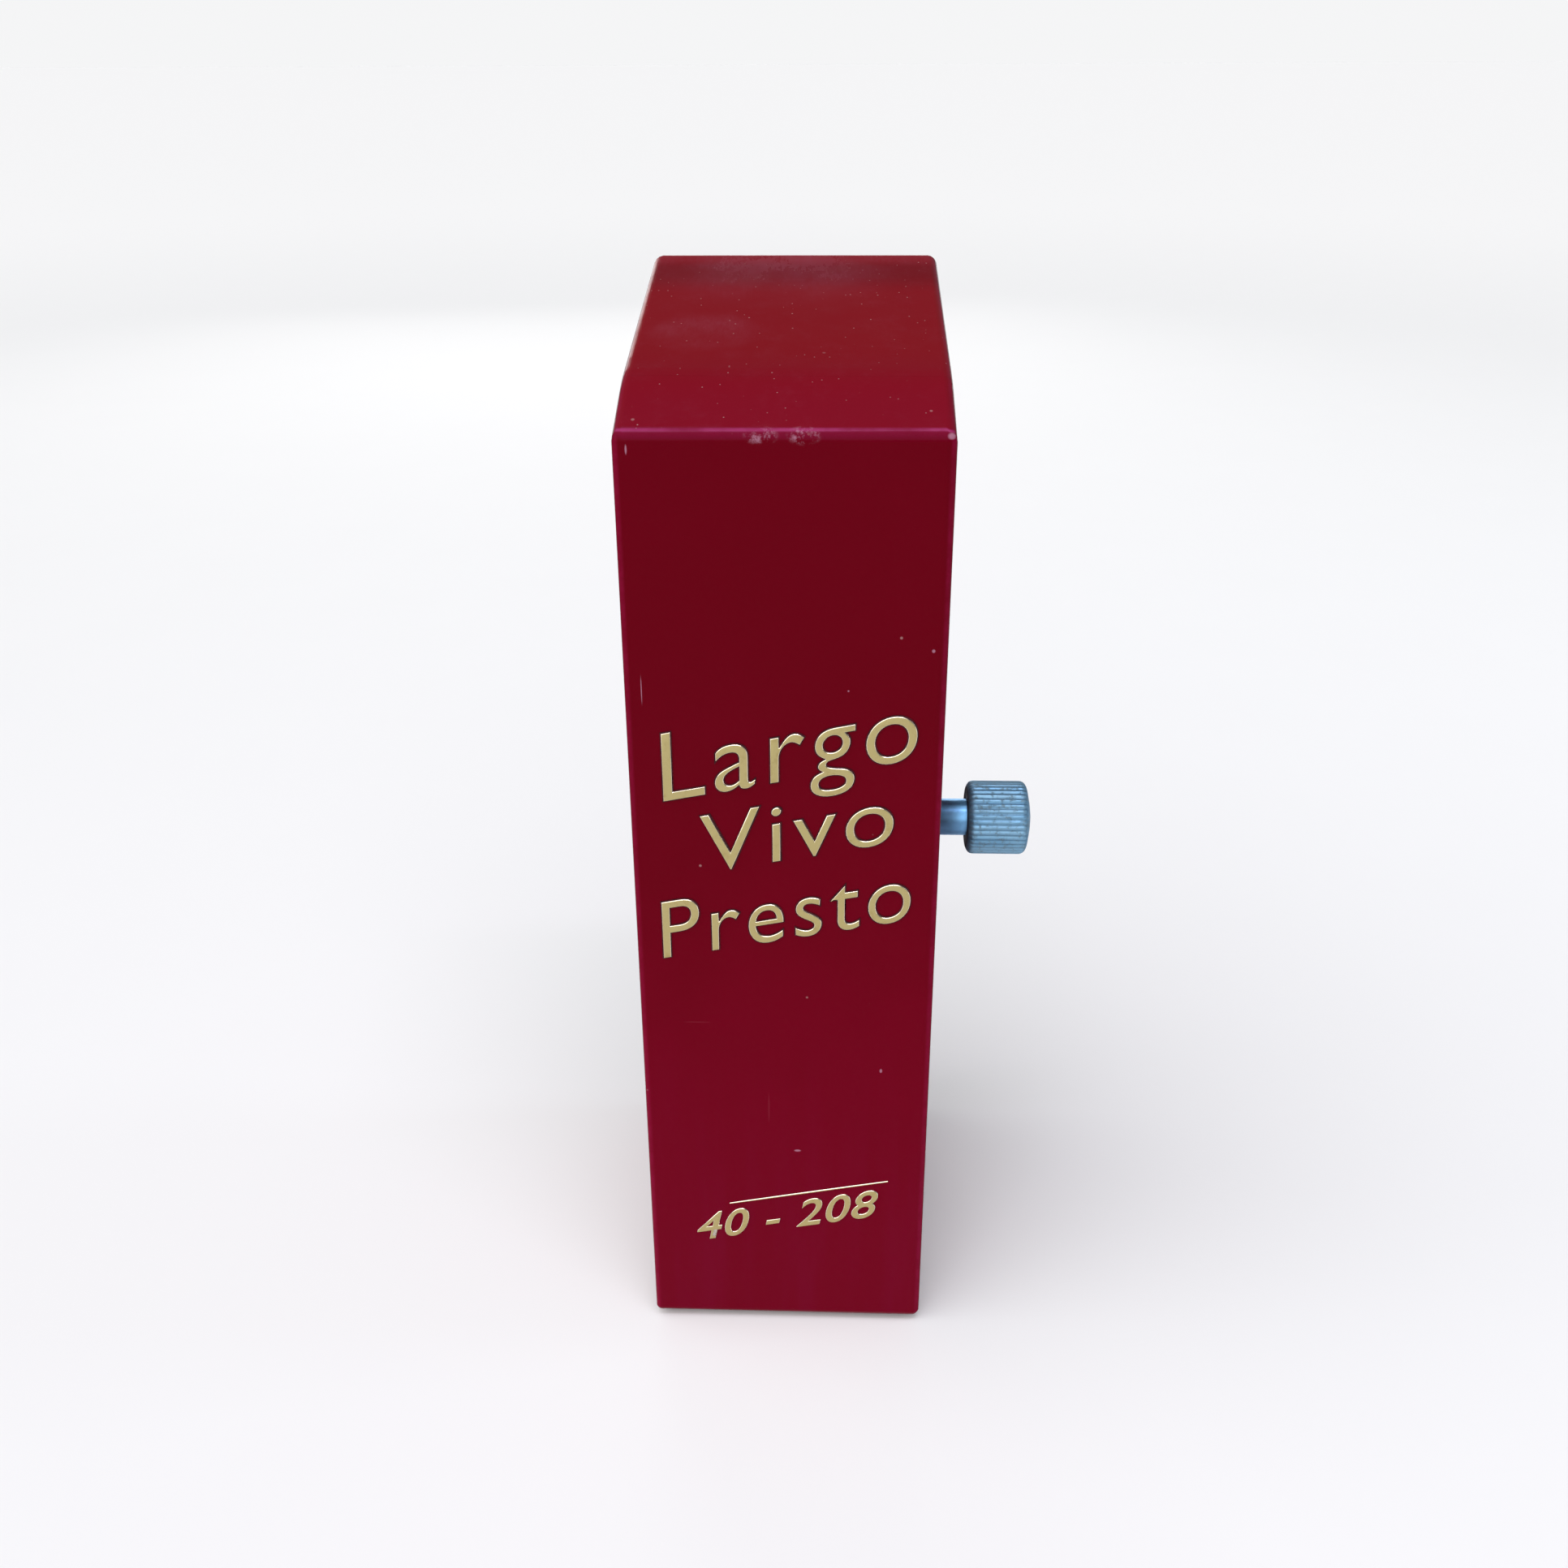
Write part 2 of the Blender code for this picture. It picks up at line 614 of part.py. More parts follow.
def plate_outline():
    """The plate's edge, with the two tabs that pass through the bracket's slots."""
    points = [(PLATE_FRONT_Y, PLATE_LOW_Z), (PLATE_BACK_Y, PLATE_LOW_Z)]
    for low, high in TAB_HEIGHTS:
        points += [(PLATE_BACK_Y, low), (BRACKET_BACK_Y + 0.4, low)]
        points += [(BRACKET_BACK_Y + 0.4, high), (PLATE_BACK_Y, high)]
    return points + [(PLATE_BACK_Y, PLATE_TOP_Z), (PLATE_FRONT_Y, PLATE_TOP_Z)]


def build_pillars():
    """Four pillars between the plates, each with a screw at the right plate and a rivet end at the left."""
    for where, spot in PILLARS.items():
        inner = PLATE_IN_X - TOUCH
        rivet = SCREW_R - 0.02
        profile = [(0, inner - 4.0), (0.9, inner - 4.0), (0.9, inner), (PILLAR_R, inner)]
        profile += [(PILLAR_R, -inner), (rivet, -inner), (rivet, -PLATE_OUT_X - 0.3)]
        profile += [(0, -PLATE_OUT_X - 0.3)]
        turned(f"pillar_{where}", "X", spot, profile, STEEL, steps=SMALL_STEPS)
        seat = PLATE_OUT_X + HEAD_GAP
        screw(f"pillar_screw_{where}", "X", seat, inner - 3.6, spot, SCREW_HEAD_R, SCREW_HEAD_T)


def build_bridges():
    """The front bridge and the rear cock that carry the pendulum staff, with their screws."""
    inner = PLATE_IN_X - TOUCH
    low = STAFF_Z - STRAP_HALF_H
    high = STAFF_Z + STRAP_HALF_H
    near, far = BRIDGE_Y - STRAP_HALF_T, BRIDGE_Y + STRAP_HALF_T
    bridge = box("front_bridge", (-inner, near, low), (inner, far, high), BRASS)
    near, far = COCK_Y - STRAP_HALF_T, COCK_Y + STRAP_HALF_T
    cock = box("staff_cock", (-2.6, near, low), (inner, far, high), BRASS)
    for obj, y in ((bridge, BRIDGE_Y), (cock, COCK_Y)):
        bore = cutter_rod(f"{obj.name}_bore", "Y", y - 2, y + 2, (0, STAFF_Z), PIVOT_R + RUN)
        boolean(obj, bore)
    ends = [(bridge, BRIDGE_Y, 1, "bridge_screw_right"), (bridge, BRIDGE_Y, -1, "bridge_screw_left")]
    ends.append((cock, COCK_Y, 1, "cock_screw"))
    for obj, y, sign, name in ends:
        start, end = sorted((sign * 4.8, sign * (inner + 1)))
        boolean(obj, cutter_rod(f"{name}_hole", "X", start, end, (y, STAFF_Z), 0.85, steps=20))
        seat = sign * (PLATE_OUT_X + HEAD_GAP)
        screw(name, "X", seat, sign * 5.2, (y, STAFF_Z), 1.3, 0.7, shank_r=THIN_SCREW_R)


def build_bracket():
    """The rear bracket that the plates' tabs are twisted in, and the two screws through the back."""
    slots = []
    for low, high in TAB_HEIGHTS:
        for sign in (-1, 1):
            middle = sign * (PLATE_IN_X + PLATE_T / 2)
            half = PLATE_T / 2 + 0.15
            slots.append(rectangle(middle - half, low - 0.2, middle + half, high + 0.2))
    holes = [ring(0.85, (0, z), 16) for z in CASE_SCREW_HEIGHTS]
    outline = rectangle(-BRACKET_HALF_W, BRACKET_LOW_Z, BRACKET_HALF_W, BRACKET_TOP_Z, 1.0, 2)
    prism("movement_bracket", "Y", BRACKET_FRONT_Y, BRACKET_BACK_Y, outline, STEEL, slots + holes)
    for where, z in zip(("lower", "upper"), CASE_SCREW_HEIGHTS):
        seat = BACK_Y - 0.85
        screw(f"case_screw_{where}", "Y", seat, 14.2, (0, z), 2.2, 0.8)


# ---------------------------------------------------------------- wheels


def involute(angle):
    return math.tan(angle) - angle


def gear(teeth, module, addendum, dedendum, first):
    """Outline of an involute gear whose first tooth points at the angle first."""
    pitch = module * teeth / 2
    base = pitch * math.cos(PRESSURE_ANGLE)
    root = pitch - dedendum * module
    tip = pitch + addendum * module
    half_pitch = math.pi / (2 * teeth) - TOOTH_THINNING / pitch

    def half_angle(radius):
        if radius <= base:
            return half_pitch + involute(PRESSURE_ANGLE)
        return half_pitch + involute(PRESSURE_ANGLE) - involute(math.acos(base / radius))

    radii = (root, max(base, pitch - 0.1 * module), tip)
    points = []
    for tooth in range(teeth):
        middle = first + math.tau * tooth / teeth
        rising = [(radius, middle - half_angle(radius)) for radius in radii]
        falling = [(radius, middle + half_angle(radius)) for radius in reversed(radii)]
        points += [(r * math.cos(a), r * math.sin(a)) for r, a in rising + falling]
    return points


def saw_wheel(teeth, tip, root, first, way):
    """Outline of saw teeth: radial faces looking in the direction way, sloping backs behind them."""
    points = []
    for tooth in range(teeth):
        angle = first + way * math.tau * tooth / teeth
        for radius in (tip, root):
            points.append((radius * math.cos(angle), radius * math.sin(angle)))
    if way < 0:
        points.reverse()
    return points


def direction(start, end):
    return math.atan2(end[1] - start[1], end[0] - start[0])


def build_barrel():
    """The going barrel: drum with the great wheel's teeth, its cover and the mainspring."""
    first = direction(BARREL, MIDDLE)
    teeth = gear(GREAT_TEETH, MODULE_1, WHEEL_ADDENDUM, 1.1, first)
    bore = ring(ARBOR_R + RUN, steps=24)
    wheel = prism("great_wheel", "X", 5.4, 6.8, teeth, BRASS, [bore], BARREL)
    inside_r = DRUM_R - DRUM_WALL
    wall = [(DRUM_R, 5.9), (DRUM_R, -4.6), (inside_r, -4.6), (inside_r, 5.9)]
    drum = turned("barrel_wall", "X", BARREL, wall, BRASS, steps=32, loop=True)
    union("barrel_drum", wheel, drum, BRASS)
    lip = inside_r - 0.06
    cover = [(DRUM_R, -4.7), (DRUM_R, -5.4), (ARBOR_R + RUN, -5.4), (ARBOR_R + RUN, -4.3)]
    cover += [(lip, -4.3), (lip, -4.7)]
    turned("barrel_cover", "X", BARREL, cover, BRASS, steps=32, loop=True)
    build_mainspring()


def build_mainspring():
    """A flat spiral strip, from just off the arbor's hub to just inside the drum."""
    count = SPRING_TURNS * SPRING_STEPS
    inner_r = 2.7
    outer_r = DRUM_R - 1.2
    inside = []
    outside = []
    for i in range(count + 1):
        angle = math.tau * i / SPRING_STEPS
        radius = inner_r + (outer_r - inner_r) * i / count
        ahead = Vector((math.cos(angle), math.sin(angle)))
        inside.append((ahead * (radius - SPRING_HALF_T))[:])
        outside.append((ahead * (radius + SPRING_HALF_T))[:])
    prism("mainspring", "X", -3.9, 5.0, outside + inside[::-1], BLUED, across=BARREL)


def build_winding():
    """The winding arbor with its stem, the ratchet wheel and the fluted knob."""
    profile = [(0, KNOB_OUT_X - 2.0), (1.4, KNOB_OUT_X - 2.0), (1.4, KNOB_IN_X - 0.1)]
    profile += [(STEM_R, KNOB_IN_X - 0.1), (STEM_R, 12.5), (ARBOR_R, 12.5), (ARBOR_R, 4.9)]
    profile += [(HUB_R, 4.9), (HUB_R, -3.9), (ARBOR_R, -3.9), (ARBOR_R, -9.1), (0.9, -9.1)]
    profile += [(0.9, -PLATE_OUT_X - 0.2), (0, -PLATE_OUT_X - 0.2)]
    turned("winding_arbor", "X", BARREL, profile, STEEL, steps=24)
    teeth = saw_wheel(RATCHET_TEETH, RATCHET_R, RATCHET_ROOT_R, CLICK_ANGLE, 1)
    bore = ring(ARBOR_R + RUN, steps=24)
    prism("ratchet_wheel", "X", *CLICK_X, teeth, STEEL, [bore], BARREL)
    build_knob()
    outer_r = BUSH_HOLE_R - 0.1
    bush = [(outer_r, CASE_HALF_W), (outer_r, 14.7), (BUSH_FLANGE_R, 14.7), (BUSH_FLANGE_R, 14.1)]
    bush += [(STEM_R + RUN, 14.1), (STEM_R + RUN, CASE_HALF_W)]
    turned("stem_bush", "X", BARREL, bush, BRASS, steps=24, loop=True)


def build_knob():
    """A fluted knob with a rounded outer end and a bore for the stem."""
    star = []
    for i in range(2 * KNOB_FLUTES):
        radius = KNOB_R - (i % 2) * KNOB_FLUTE_DEPTH
        angle = math.pi * i / KNOB_FLUTES
        star.append((radius * math.cos(angle), radius * math.sin(angle)))
    knob = prism("knob", "X", KNOB_IN_X, KNOB_OUT_X, star, ALUMINIUM, across=BARREL)
    end_r = KNOB_END_R
    rounded = [(0, KNOB_OUT_X), (KNOB_R - end_r - 0.4, KNOB_OUT_X)]
    for i in range(1, 5):
        angle = math.pi / 2 * i / 4
        along = KNOB_OUT_X - end_r * (1 - math.cos(angle))
        rounded.append((KNOB_R - end_r + end_r * math.sin(angle), along))
    rounded += [(KNOB_R + 0.01, KNOB_IN_X + 0.5), (KNOB_R - 0.5, KNOB_IN_X), (0, KNOB_IN_X)]
    form = turned("knob_form", "X", BARREL, rounded, steps=72, collection=CUTTERS)
    boolean(knob, form, "INTERSECT")
    boolean(knob, cutter_rod("knob_bore", "X", KNOB_IN_X - 1, KNOB_OUT_X - 1.7, BARREL, KNOB_BORE_R))


def build_click():
    """The click that holds the ratchet wheel, its stud, its spring and the spring's screw."""
    outward, around = click_frame()
    centre = Vector(BARREL)
    pivot = Vector(CLICK_PIVOT)
    reach = RATCHET_ROOT_R + 0.4
    tip_low = centre + outward * reach + around * 0.3
    tip_high = centre + outward * (RATCHET_R + 1.0) + around * 0.3
    arm = (pivot - tip_low).normalized()
    side = Vector((arm.y, -arm.x))
    start = math.atan2(-side.y, -side.x)
    arc = []
    for i in range(9):
        angle = start - math.pi * i / 8
        arc.append(pivot + Vector((math.cos(angle), math.sin(angle))) * CLICK_EYE_R)
    outline = [tip_high, tip_low, *arc]
    local = [(point - pivot)[:] for point in outline]
    prism("click", "X", *CLICK_X, local, STEEL, [ring(0.85, steps=20)], CLICK_PIVOT)
    stud = [(0, 12.9), (1.3, 12.9), (1.3, 12.2), (0.75, 12.2), (0.75, 10.8), (1.1, 10.8)]
    stud += [(1.1, 10.6), (0.6, 10.6), (0.6, 9.4), (0, 9.4)]
    turned("click_stud", "X", CLICK_PIVOT, stud, STEEL, steps=SMALL_STEPS)
    build_click_spring(tip_high)


def build_click_spring(tip):
    """A bent wire from its screw to the back of the click's tip."""
    foot = Vector(CLICK_SPRING_FOOT)
    touch = tip + (foot - tip).normalized() * 0.55
    curve = bpy.data.curves.new("click_spring", "CURVE")
    curve.dimensions = "3D"
    curve.bevel_depth = 0.22 * MM
    curve.bevel_resolution = 2
    curve.use_fill_caps = True
    route = []
    for i in range(10):
        angle = direction(foot, touch) + math.radians(250) * (1 - i / 9)
        route.append((foot.x + 1.05 * math.cos(angle), foot.y + 1.05 * math.sin(angle)))
    route.append((touch.x, touch.y))
    spline = curve.splines.new("POLY")
    spline.points.add(len(route) - 1)
    for point, (y, z) in zip(spline.points, route):
        point.co = (11.3 * MM, y * MM, z * MM, 1.0)
    obj = bpy.data.objects.new("click_spring", curve)
    bpy.context.scene.collection.objects.link(obj)
    as_mesh(obj, "click_spring", BLUED)
    screw("click_spring_screw", "X", 11.7, 9.6, CLICK_SPRING_FOOT, 1.4, 0.7, shank_r=THIN_SCREW_R)


def build_train():
    """Intermediate and escape arbors with their pinions and wheels, in mesh at rest."""
    inner = PLATE_IN_X - TOUCH
    to_barrel = direction(MIDDLE, BARREL)
    first = to_barrel + math.pi / PINION_TEETH
    arbor("intermediate_arbor", MIDDLE, inner, MODULE_1, first, (5.1, 7.1))
    to_escape = direction(MIDDLE, ESCAPE)
    teeth = gear(MIDDLE_TEETH, MODULE_2, WHEEL_ADDENDUM, 1.1, to_escape)
    holes = [ring(0.8 + RUN, steps=20)]
    holes += [ring(1.9, spot, 12) for spot in ring(5.4, steps=5)]
    prism("intermediate_wheel", "X", -7.4, -6.6, teeth, BRASS, holes, MIDDLE)
    first = direction(ESCAPE, MIDDLE) + math.pi / PINION_TEETH
    arbor("escape_arbor", ESCAPE, inner, MODULE_2, first, (-7.8, -6.2))
    teeth = saw_wheel(ESCAPE_TEETH, ESCAPE_R, ESCAPE_ROOT_R, 0.0, -1)
    holes = [ring(0.8 + RUN, steps=20)]
    holes += [ring(1.2, spot, 12) for spot in ring(3.1, steps=4)]
    prism("escape_wheel", "X", -0.5, 0.5, teeth, BRASS, holes, ESCAPE)


def arbor(name, across, inner, module, first, pinion_x):
    """A shaft with thin pivots at both ends, and a pinion cut on it."""
    shoulder = inner - 0.1
    end = PLATE_OUT_X + 0.1
    profile = [(0, end), (0.6, end), (0.6, shoulder), (0.8, shoulder)]
    profile += [(0.8, -shoulder), (0.6, -shoulder), (0.6, -end), (0, -end)]
    shaft = turned(f"{name}_shaft", "X", across, profile, STEEL, steps=SMALL_STEPS)
    teeth = gear(PINION_TEETH, module, PINION_ADDENDUM, 0.95, first)
    pinion = prism(f"{name}_pinion", "X", *pinion_x, teeth, STEEL, across=across)
    union(name, shaft, pinion, STEEL)


# ---------------------------------------------------------------- pendulum


def build_pendulum():
    """Staff, pallets, hub and rod, and the lower arm with its counterweight."""
    rear, front = COCK_Y - 1.1, BRIDGE_Y + 1.1
    profile = [(0, STAFF_BACK_Y), (PIVOT_R, STAFF_BACK_Y), (PIVOT_R, rear), (STAFF_R, rear)]
    profile += [(STAFF_R, front), (PIVOT_R, front), (PIVOT_R, STAFF_FRONT_Y), (0, STAFF_FRONT_Y)]
    turned("pendulum_staff", "Y", (0, STAFF_Z), profile, STEEL, steps=18)
    boss = [(2.6, -13.0), (2.6, -16.1), (0.8, -16.1), (0.8, -13.0)]
    turned("rod_boss", "Y", (0, STAFF_Z), boss, BRASS, steps=24, loop=True)
    half, shoulder = ROD_HALF_W, ROD_TOP_Z - 1
    rod = [(half, ROD_LOW_Z), (half, shoulder), (0.5, ROD_TOP_Z), (-0.5, ROD_TOP_Z)]
    rod += [(-half, shoulder), (-half, ROD_LOW_Z)]
    prism("pendulum_rod", "Y", ROD_FRONT_Y, ROD_BACK_Y, rod, STEEL)
    build_lower_arm()
    build_pallets()
    build_weight()


def build_lower_arm():
    """The strip behind the fascia that carries the counterweight."""
    wide, waist = ARM_HALF_W, ARM_WAIST
    foot = COUNTERWEIGHT_Z - 2.4
    outline = [(wide, STAFF_Z + wide), (-wide, STAFF_Z + wide), (-wide, STAFF_Z - wide)]
    outline += [(-waist, STAFF_Z - 5.0), (-waist, foot)]
    outline += [(waist, foot), (waist, STAFF_Z - 5.0), (wide, STAFF_Z - wide)]
    holes = [ring(0.8, (0, STAFF_Z), 24), ring(0.8, (0, COUNTERWEIGHT_Z), 16)]
    prism("lower_arm", "Y", -10.6, -9.7, outline, STEEL, holes)
    radius = COUNTERWEIGHT_R
    lump = [(radius - 0.6, 3.0), (radius, 2.4), (radius, -9.0)]
    lump += [(radius - 0.6, -9.6), (0.85, -9.6), (0.85, 3.0)]
    turned("counterweight", "Y", (0, COUNTERWEIGHT_Z), lump, ZINC, steps=28, loop=True)
    screw("counterweight_screw", "Y", -10.66, -3.0, (0, COUNTERWEIGHT_Z), 1.4, 0.7)


def build_pallets():
    """Two pallets on the staff, before and behind the escape wheel, clear of its tips."""
    places = (("pallet_front", -PALLET_Y, -1), ("pallet_rear", PALLET_Y, 1))
    for name, y, side in places:
        near = abs(y) - PALLET_HALF_T
        foot = ESCAPE[1] + math.sqrt(ESCAPE_R**2 - near**2) + 0.5
        outer = side * 2.0
        inner = side * 0.3
        outline = ring(2.0, (0, STAFF_Z), 20)
        start, end = y - PALLET_HALF_T, y + PALLET_HALF_T
        collar = prism(f"{name}_collar", "Y", start, end, outline)
        low = (min(outer, inner), start, foot)
        high = (max(outer, inner), end, STAFF_Z - 0.9)
        blade = box(f"{name}_blade", low, high)
        both = union(name, collar, blade, STEEL)
        boolean(both, cutter_rod(f"{name}_bore", "Y", y - 2, y + 2, (0, STAFF_Z), STAFF_R + RUN))


def build_weight():
    """The sliding weight, cut through for the rod, and the leaf spring that grips it."""
    low = WEIGHT_LOW_Z
    high = low + WEIGHT_H
    outline = [(3.6, low), (4.7, high - 1.0), (4.2, high)]
    outline += [(-x, z) for x, z in reversed(outline)]
    weight = prism("sliding_weight", "Y", WEIGHT_FRONT_Y, WEIGHT_BACK_Y, outline, BRASS)
    round_edges(weight, 0.35, 2, 25)
    half = ROD_HALF_W + ROD_CLEARANCE
    gap_low = (-half, ROD_FRONT_Y - 0.85, low - 1)
    gap_high = (half, ROD_BACK_Y + ROD_CLEARANCE, high + 1)
    boolean(weight, box("weight_slot", gap_low, gap_high, collection=CUTTERS))
    arch = []
    for i in range(9):
        share = i / 8
        bow = 0.32 * math.sin(math.pi * share)
        arch.append((ROD_FRONT_Y - 0.62 + bow, low + 0.8 + share * (WEIGHT_H - 1.6)))
    back = [(y + 0.12, z) for y, z in arch]
    prism("weight_spring", "X", -0.9, 0.9, back + arch[::-1], BLUED)


def main():
    build_lid()
    build_case_body()
    build_base()
    build_fascia()
    build_scale()
    build_rod_clip()
    build_plates()
    build_pillars()
    build_bridges()
    build_bracket()
    build_barrel()
    build_winding()
    build_click()
    build_train()
    build_pendulum()
    bpy.context.view_layer.update()


main()
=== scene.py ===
"""Looks for a pocket pendulum metronome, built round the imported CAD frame.

Everything is in metres, in the frame's own coordinates: the case stands on Z = 0, the lid's front
faces -Y and the winding knob is on +X. Each piece's origin is the frame's, so a material's object
coordinates are the frame's coordinates too.
"""

import math
import random

import bmesh
import bpy
from mathutils import Euler, Matrix, Vector


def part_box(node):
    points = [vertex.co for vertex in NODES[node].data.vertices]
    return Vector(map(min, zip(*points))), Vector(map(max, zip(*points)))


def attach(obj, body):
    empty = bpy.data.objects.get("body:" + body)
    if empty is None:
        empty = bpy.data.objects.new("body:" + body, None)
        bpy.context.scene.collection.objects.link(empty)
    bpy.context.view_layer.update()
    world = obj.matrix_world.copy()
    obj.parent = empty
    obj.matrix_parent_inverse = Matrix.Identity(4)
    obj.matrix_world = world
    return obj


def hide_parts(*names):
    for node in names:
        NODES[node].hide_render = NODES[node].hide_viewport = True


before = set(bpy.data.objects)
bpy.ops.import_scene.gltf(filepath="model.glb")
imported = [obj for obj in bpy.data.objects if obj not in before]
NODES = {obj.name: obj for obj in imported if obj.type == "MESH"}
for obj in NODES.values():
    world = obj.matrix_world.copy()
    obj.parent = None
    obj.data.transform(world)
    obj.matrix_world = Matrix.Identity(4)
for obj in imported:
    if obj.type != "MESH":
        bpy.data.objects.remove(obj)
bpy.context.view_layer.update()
MM = 0.001

LID_LOW, LID_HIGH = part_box("lid")
BODY_LOW, BODY_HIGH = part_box("case_body")
KNOB_LOW, KNOB_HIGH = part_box("knob")
SCALE_LOW, SCALE_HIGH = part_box("scale_plate")
ROD_LOW, ROD_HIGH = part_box("pendulum_rod")
WEIGHT_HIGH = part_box("sliding_weight")[1]
ARBOR_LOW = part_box("winding_arbor")[0]
PAD_LOW, PAD_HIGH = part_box("base_pad")
ARBOR_Y = (KNOB_LOW.y + KNOB_HIGH.y) / 2
ARBOR_Z = (KNOB_LOW.z + KNOB_HIGH.z) / 2
KNOB_RADIUS = (KNOB_HIGH.z - KNOB_LOW.z) / 2

# The case and its seam
WELD = 0.003 * MM  # vertices nearer than this are one
NODE_WELD = 0.004 * MM  # the same, on a CAD node that stays
SHARP = 35  # degrees, an edge that isn't smoothed over
SLIVER = 0.002 * MM  # edges shorter than this are dropped
ON_FACE = 0.01 * MM  # how near a vertex is to a face that it counts as on
SEAM_HAIRLINE = 0.01 * MM
SEAM_GROOVE = 0.30 * MM  # the width of the groove that the halves' eased edges leave on the sides
SEAM_FADE = 1.0 * MM  # how far below the top it ends
TOP_REACH = 3.0 * MM  # the top where the halves meet is no further than this below the lid's height
TOP_SLOPE = 0.32  # of the top where the halves meet
FRONT = LID_LOW.y / MM  # mm
LIP_Y, LIP_Z = FRONT + 0.4, LID_HIGH.z / MM - 4.0  # mm, the front's top edge
SCUFF_AT, SCUFF_SIZE = (-2.2, 1.9), (1.9, 1.2, 1.0)  # mm, two along that edge
# Nicks and rubs on the lid, the first of them a painted glint at the right end of the front's top
# edge: the centre and the half sizes, in mm
MARKS_AND_GLINT = [
    ((15.9, LIP_Y, LIP_Z), (0.5, 0.5, 0.4)),
    ((-15.1, LIP_Y - 0.4, LIP_Z - 1.3), (0.13, 0.5, 0.6)),
    ((-14.7, LIP_Y - 0.4, 85.4), (0.07, 0.5, 1.9)),
    ((15.0, LIP_Y - 0.4, 89.9), (0.22, 0.5, 0.24)),
    ((10.9, LIP_Y - 0.4, 38.4), (0.2, 0.5, 0.35)),
    ((1.3, LIP_Y - 0.4, 26.7), (0.5, 0.5, 0.2)),
    ((6.5, LIP_Y - 0.4, 85.5), (0.13, 0.5, 0.13)),
]

# Linear colours. The crimson's first: the front, the foot, the top with its painted sheen and
# painted dark band, the edges with a painted highlight along the front's top edge, and what lies on
# it
DEEP_RED, RED = (0.112, 0.0001, 0.0052), (0.141, 0.0002, 0.0092)
FOOT_RED = (0.150, 0.0016, 0.0185)
# The top's two colours are a painted sheen, the light it catches at a glancing angle
TOP_FRONT_SHEEN_RED, TOP_BACK_SHEEN_RED = (0.176, 0.0042, 0.0140), (0.186, 0.0026, 0.0074)
# A painted dark reflection, in a band near the back of the top
TOP_SHADE_RED = (0.118, 0.0008, 0.0050)
# The edge colour is wear; the lip and crest colours paint the highlight on the front's top edge
EDGE_RED, LIP_HIGHLIGHT_RED, CREST_HIGHLIGHT_RED = (0.30, 0.008, 0.06), (0.135, 0.0012, 0.021), (0.30, 0.03, 0.12)
# The haze colour also paints a pale reflection along the back of the top
HAZE_AND_SHEEN, DUST = (0.32, 0.10, 0.17), (0.46, 0.27, 0.27)
# The dent colour also paints a glint at the right end of the front's top edge
DENT_AND_GLINT, SCRATCH = (0.56, 0.30, 0.42), (0.40, 0.08, 0.12)
BRASS_LIGHT, BRASS_DARK = (0.72, 0.52, 0.22), (0.50, 0.34, 0.12)
STEEL_LIGHT, STEEL_DARK = (0.60, 0.61, 0.63), (0.40, 0.41, 0.43)
BLUED_LIGHT, BLUED_DARK = (0.10, 0.13, 0.22), (0.13, 0.10, 0.11)
ZINC_LIGHT, ZINC_DARK = (0.36, 0.37, 0.39), (0.24, 0.25, 0.27)
# The stem's blues are a painted reflection of a blue sky on the metal
STEM_LIGHT, STEM_DARK = (0.22, 0.50, 0.84), (0.15, 0.36, 0.62)
STAIN = 0.35  # how bright a stain on metal is, of its darker colour
GOLD, GOLD_WORN, GOLD_GLINT = (0.50, 0.415, 0.185), (0.42, 0.33, 0.13), (0.92, 0.86, 0.72)
# These dark reds are a painted shadow round the letters
SHADOW_RIM_REDS = (0.022, 0.001, 0.003), (0.065, 0.002, 0.006)
# The knob's blues, streak included, are a painted reflection of a blue sky on the metal
KNOB_SKY_BLUES = (0.15, 0.33, 0.51), (0.21, 0.41, 0.59)
KNOB_STREAK, KNOB_GRIME = (0.32, 0.52, 0.66), (0.06, 0.13, 0.20)
# The inner colour is a painted shade on the knob's inner end face
KNOB_PIT, KNOB_INNER_SHADE = (0.16, 0.19, 0.17), (0.03, 0.04, 0.05)
BLACKS, BLACK_DUST = ((0.018, 0.018, 0.0189), (0.0342, 0.0342, 0.0342)), (0.28, 0.26, 0.24)
FELT_BLACKS, LINT = ((0.008, 0.008, 0.009), (0.05, 0.048, 0.05)), (0.3, 0.28, 0.27)
SCALE_GOLDS, SCALE_DULL = ((0.60, 0.54, 0.38), (0.72, 0.66, 0.49)), (0.44, 0.38, 0.25)
INKS = (0.012, 0.012, 0.013), (0.07, 0.065, 0.055)
FLOOR_PALES, FLOOR_FAR = ((0.86, 0.86, 0.86), (0.87, 0.87, 0.87)), (0.985, 0.975, 0.975)
SKY, SKY_STRENGTH, BACKDROP = (0.90, 0.95, 1.0), 0.2, (0.913, 0.915, 0.922)

# The knob and its stem
FLUTES = 40
STEPS_PER_FLUTE = 8
FLUTE_DEPTH = 0.16 * MM
KNOB_BORE = 1.4 * MM  # how deep the stem's hole goes
KNOB_ROUND = 1.0 * MM  # the rounding of the outer end's edge, across
KNOB_ROUND_LONG = 0.85 * MM  # and along
KNOB_DOME = 0.5 * MM
STEM_STEPS = 72
TOOL_SPACING = 0.16 * MM  # between the rings on a turned face

# The lettering on the lid
PRINT_T = 0.5 * MM
PRINT_PROUD = 0.17 * MM
PRINT_EDGE = 0.12 * MM
PRINT_SPACING = 1.1
PRINT_WEIGHT = -0.004  # of the letters' size
# The dark rim round a letter is a painted shadow
RIM = 0.11  # mm, the width of the dark rim round a letter
RIM_PROUD = 0.012 * MM
LINE_RISE = 11.2  # degrees, each line climbing to the right
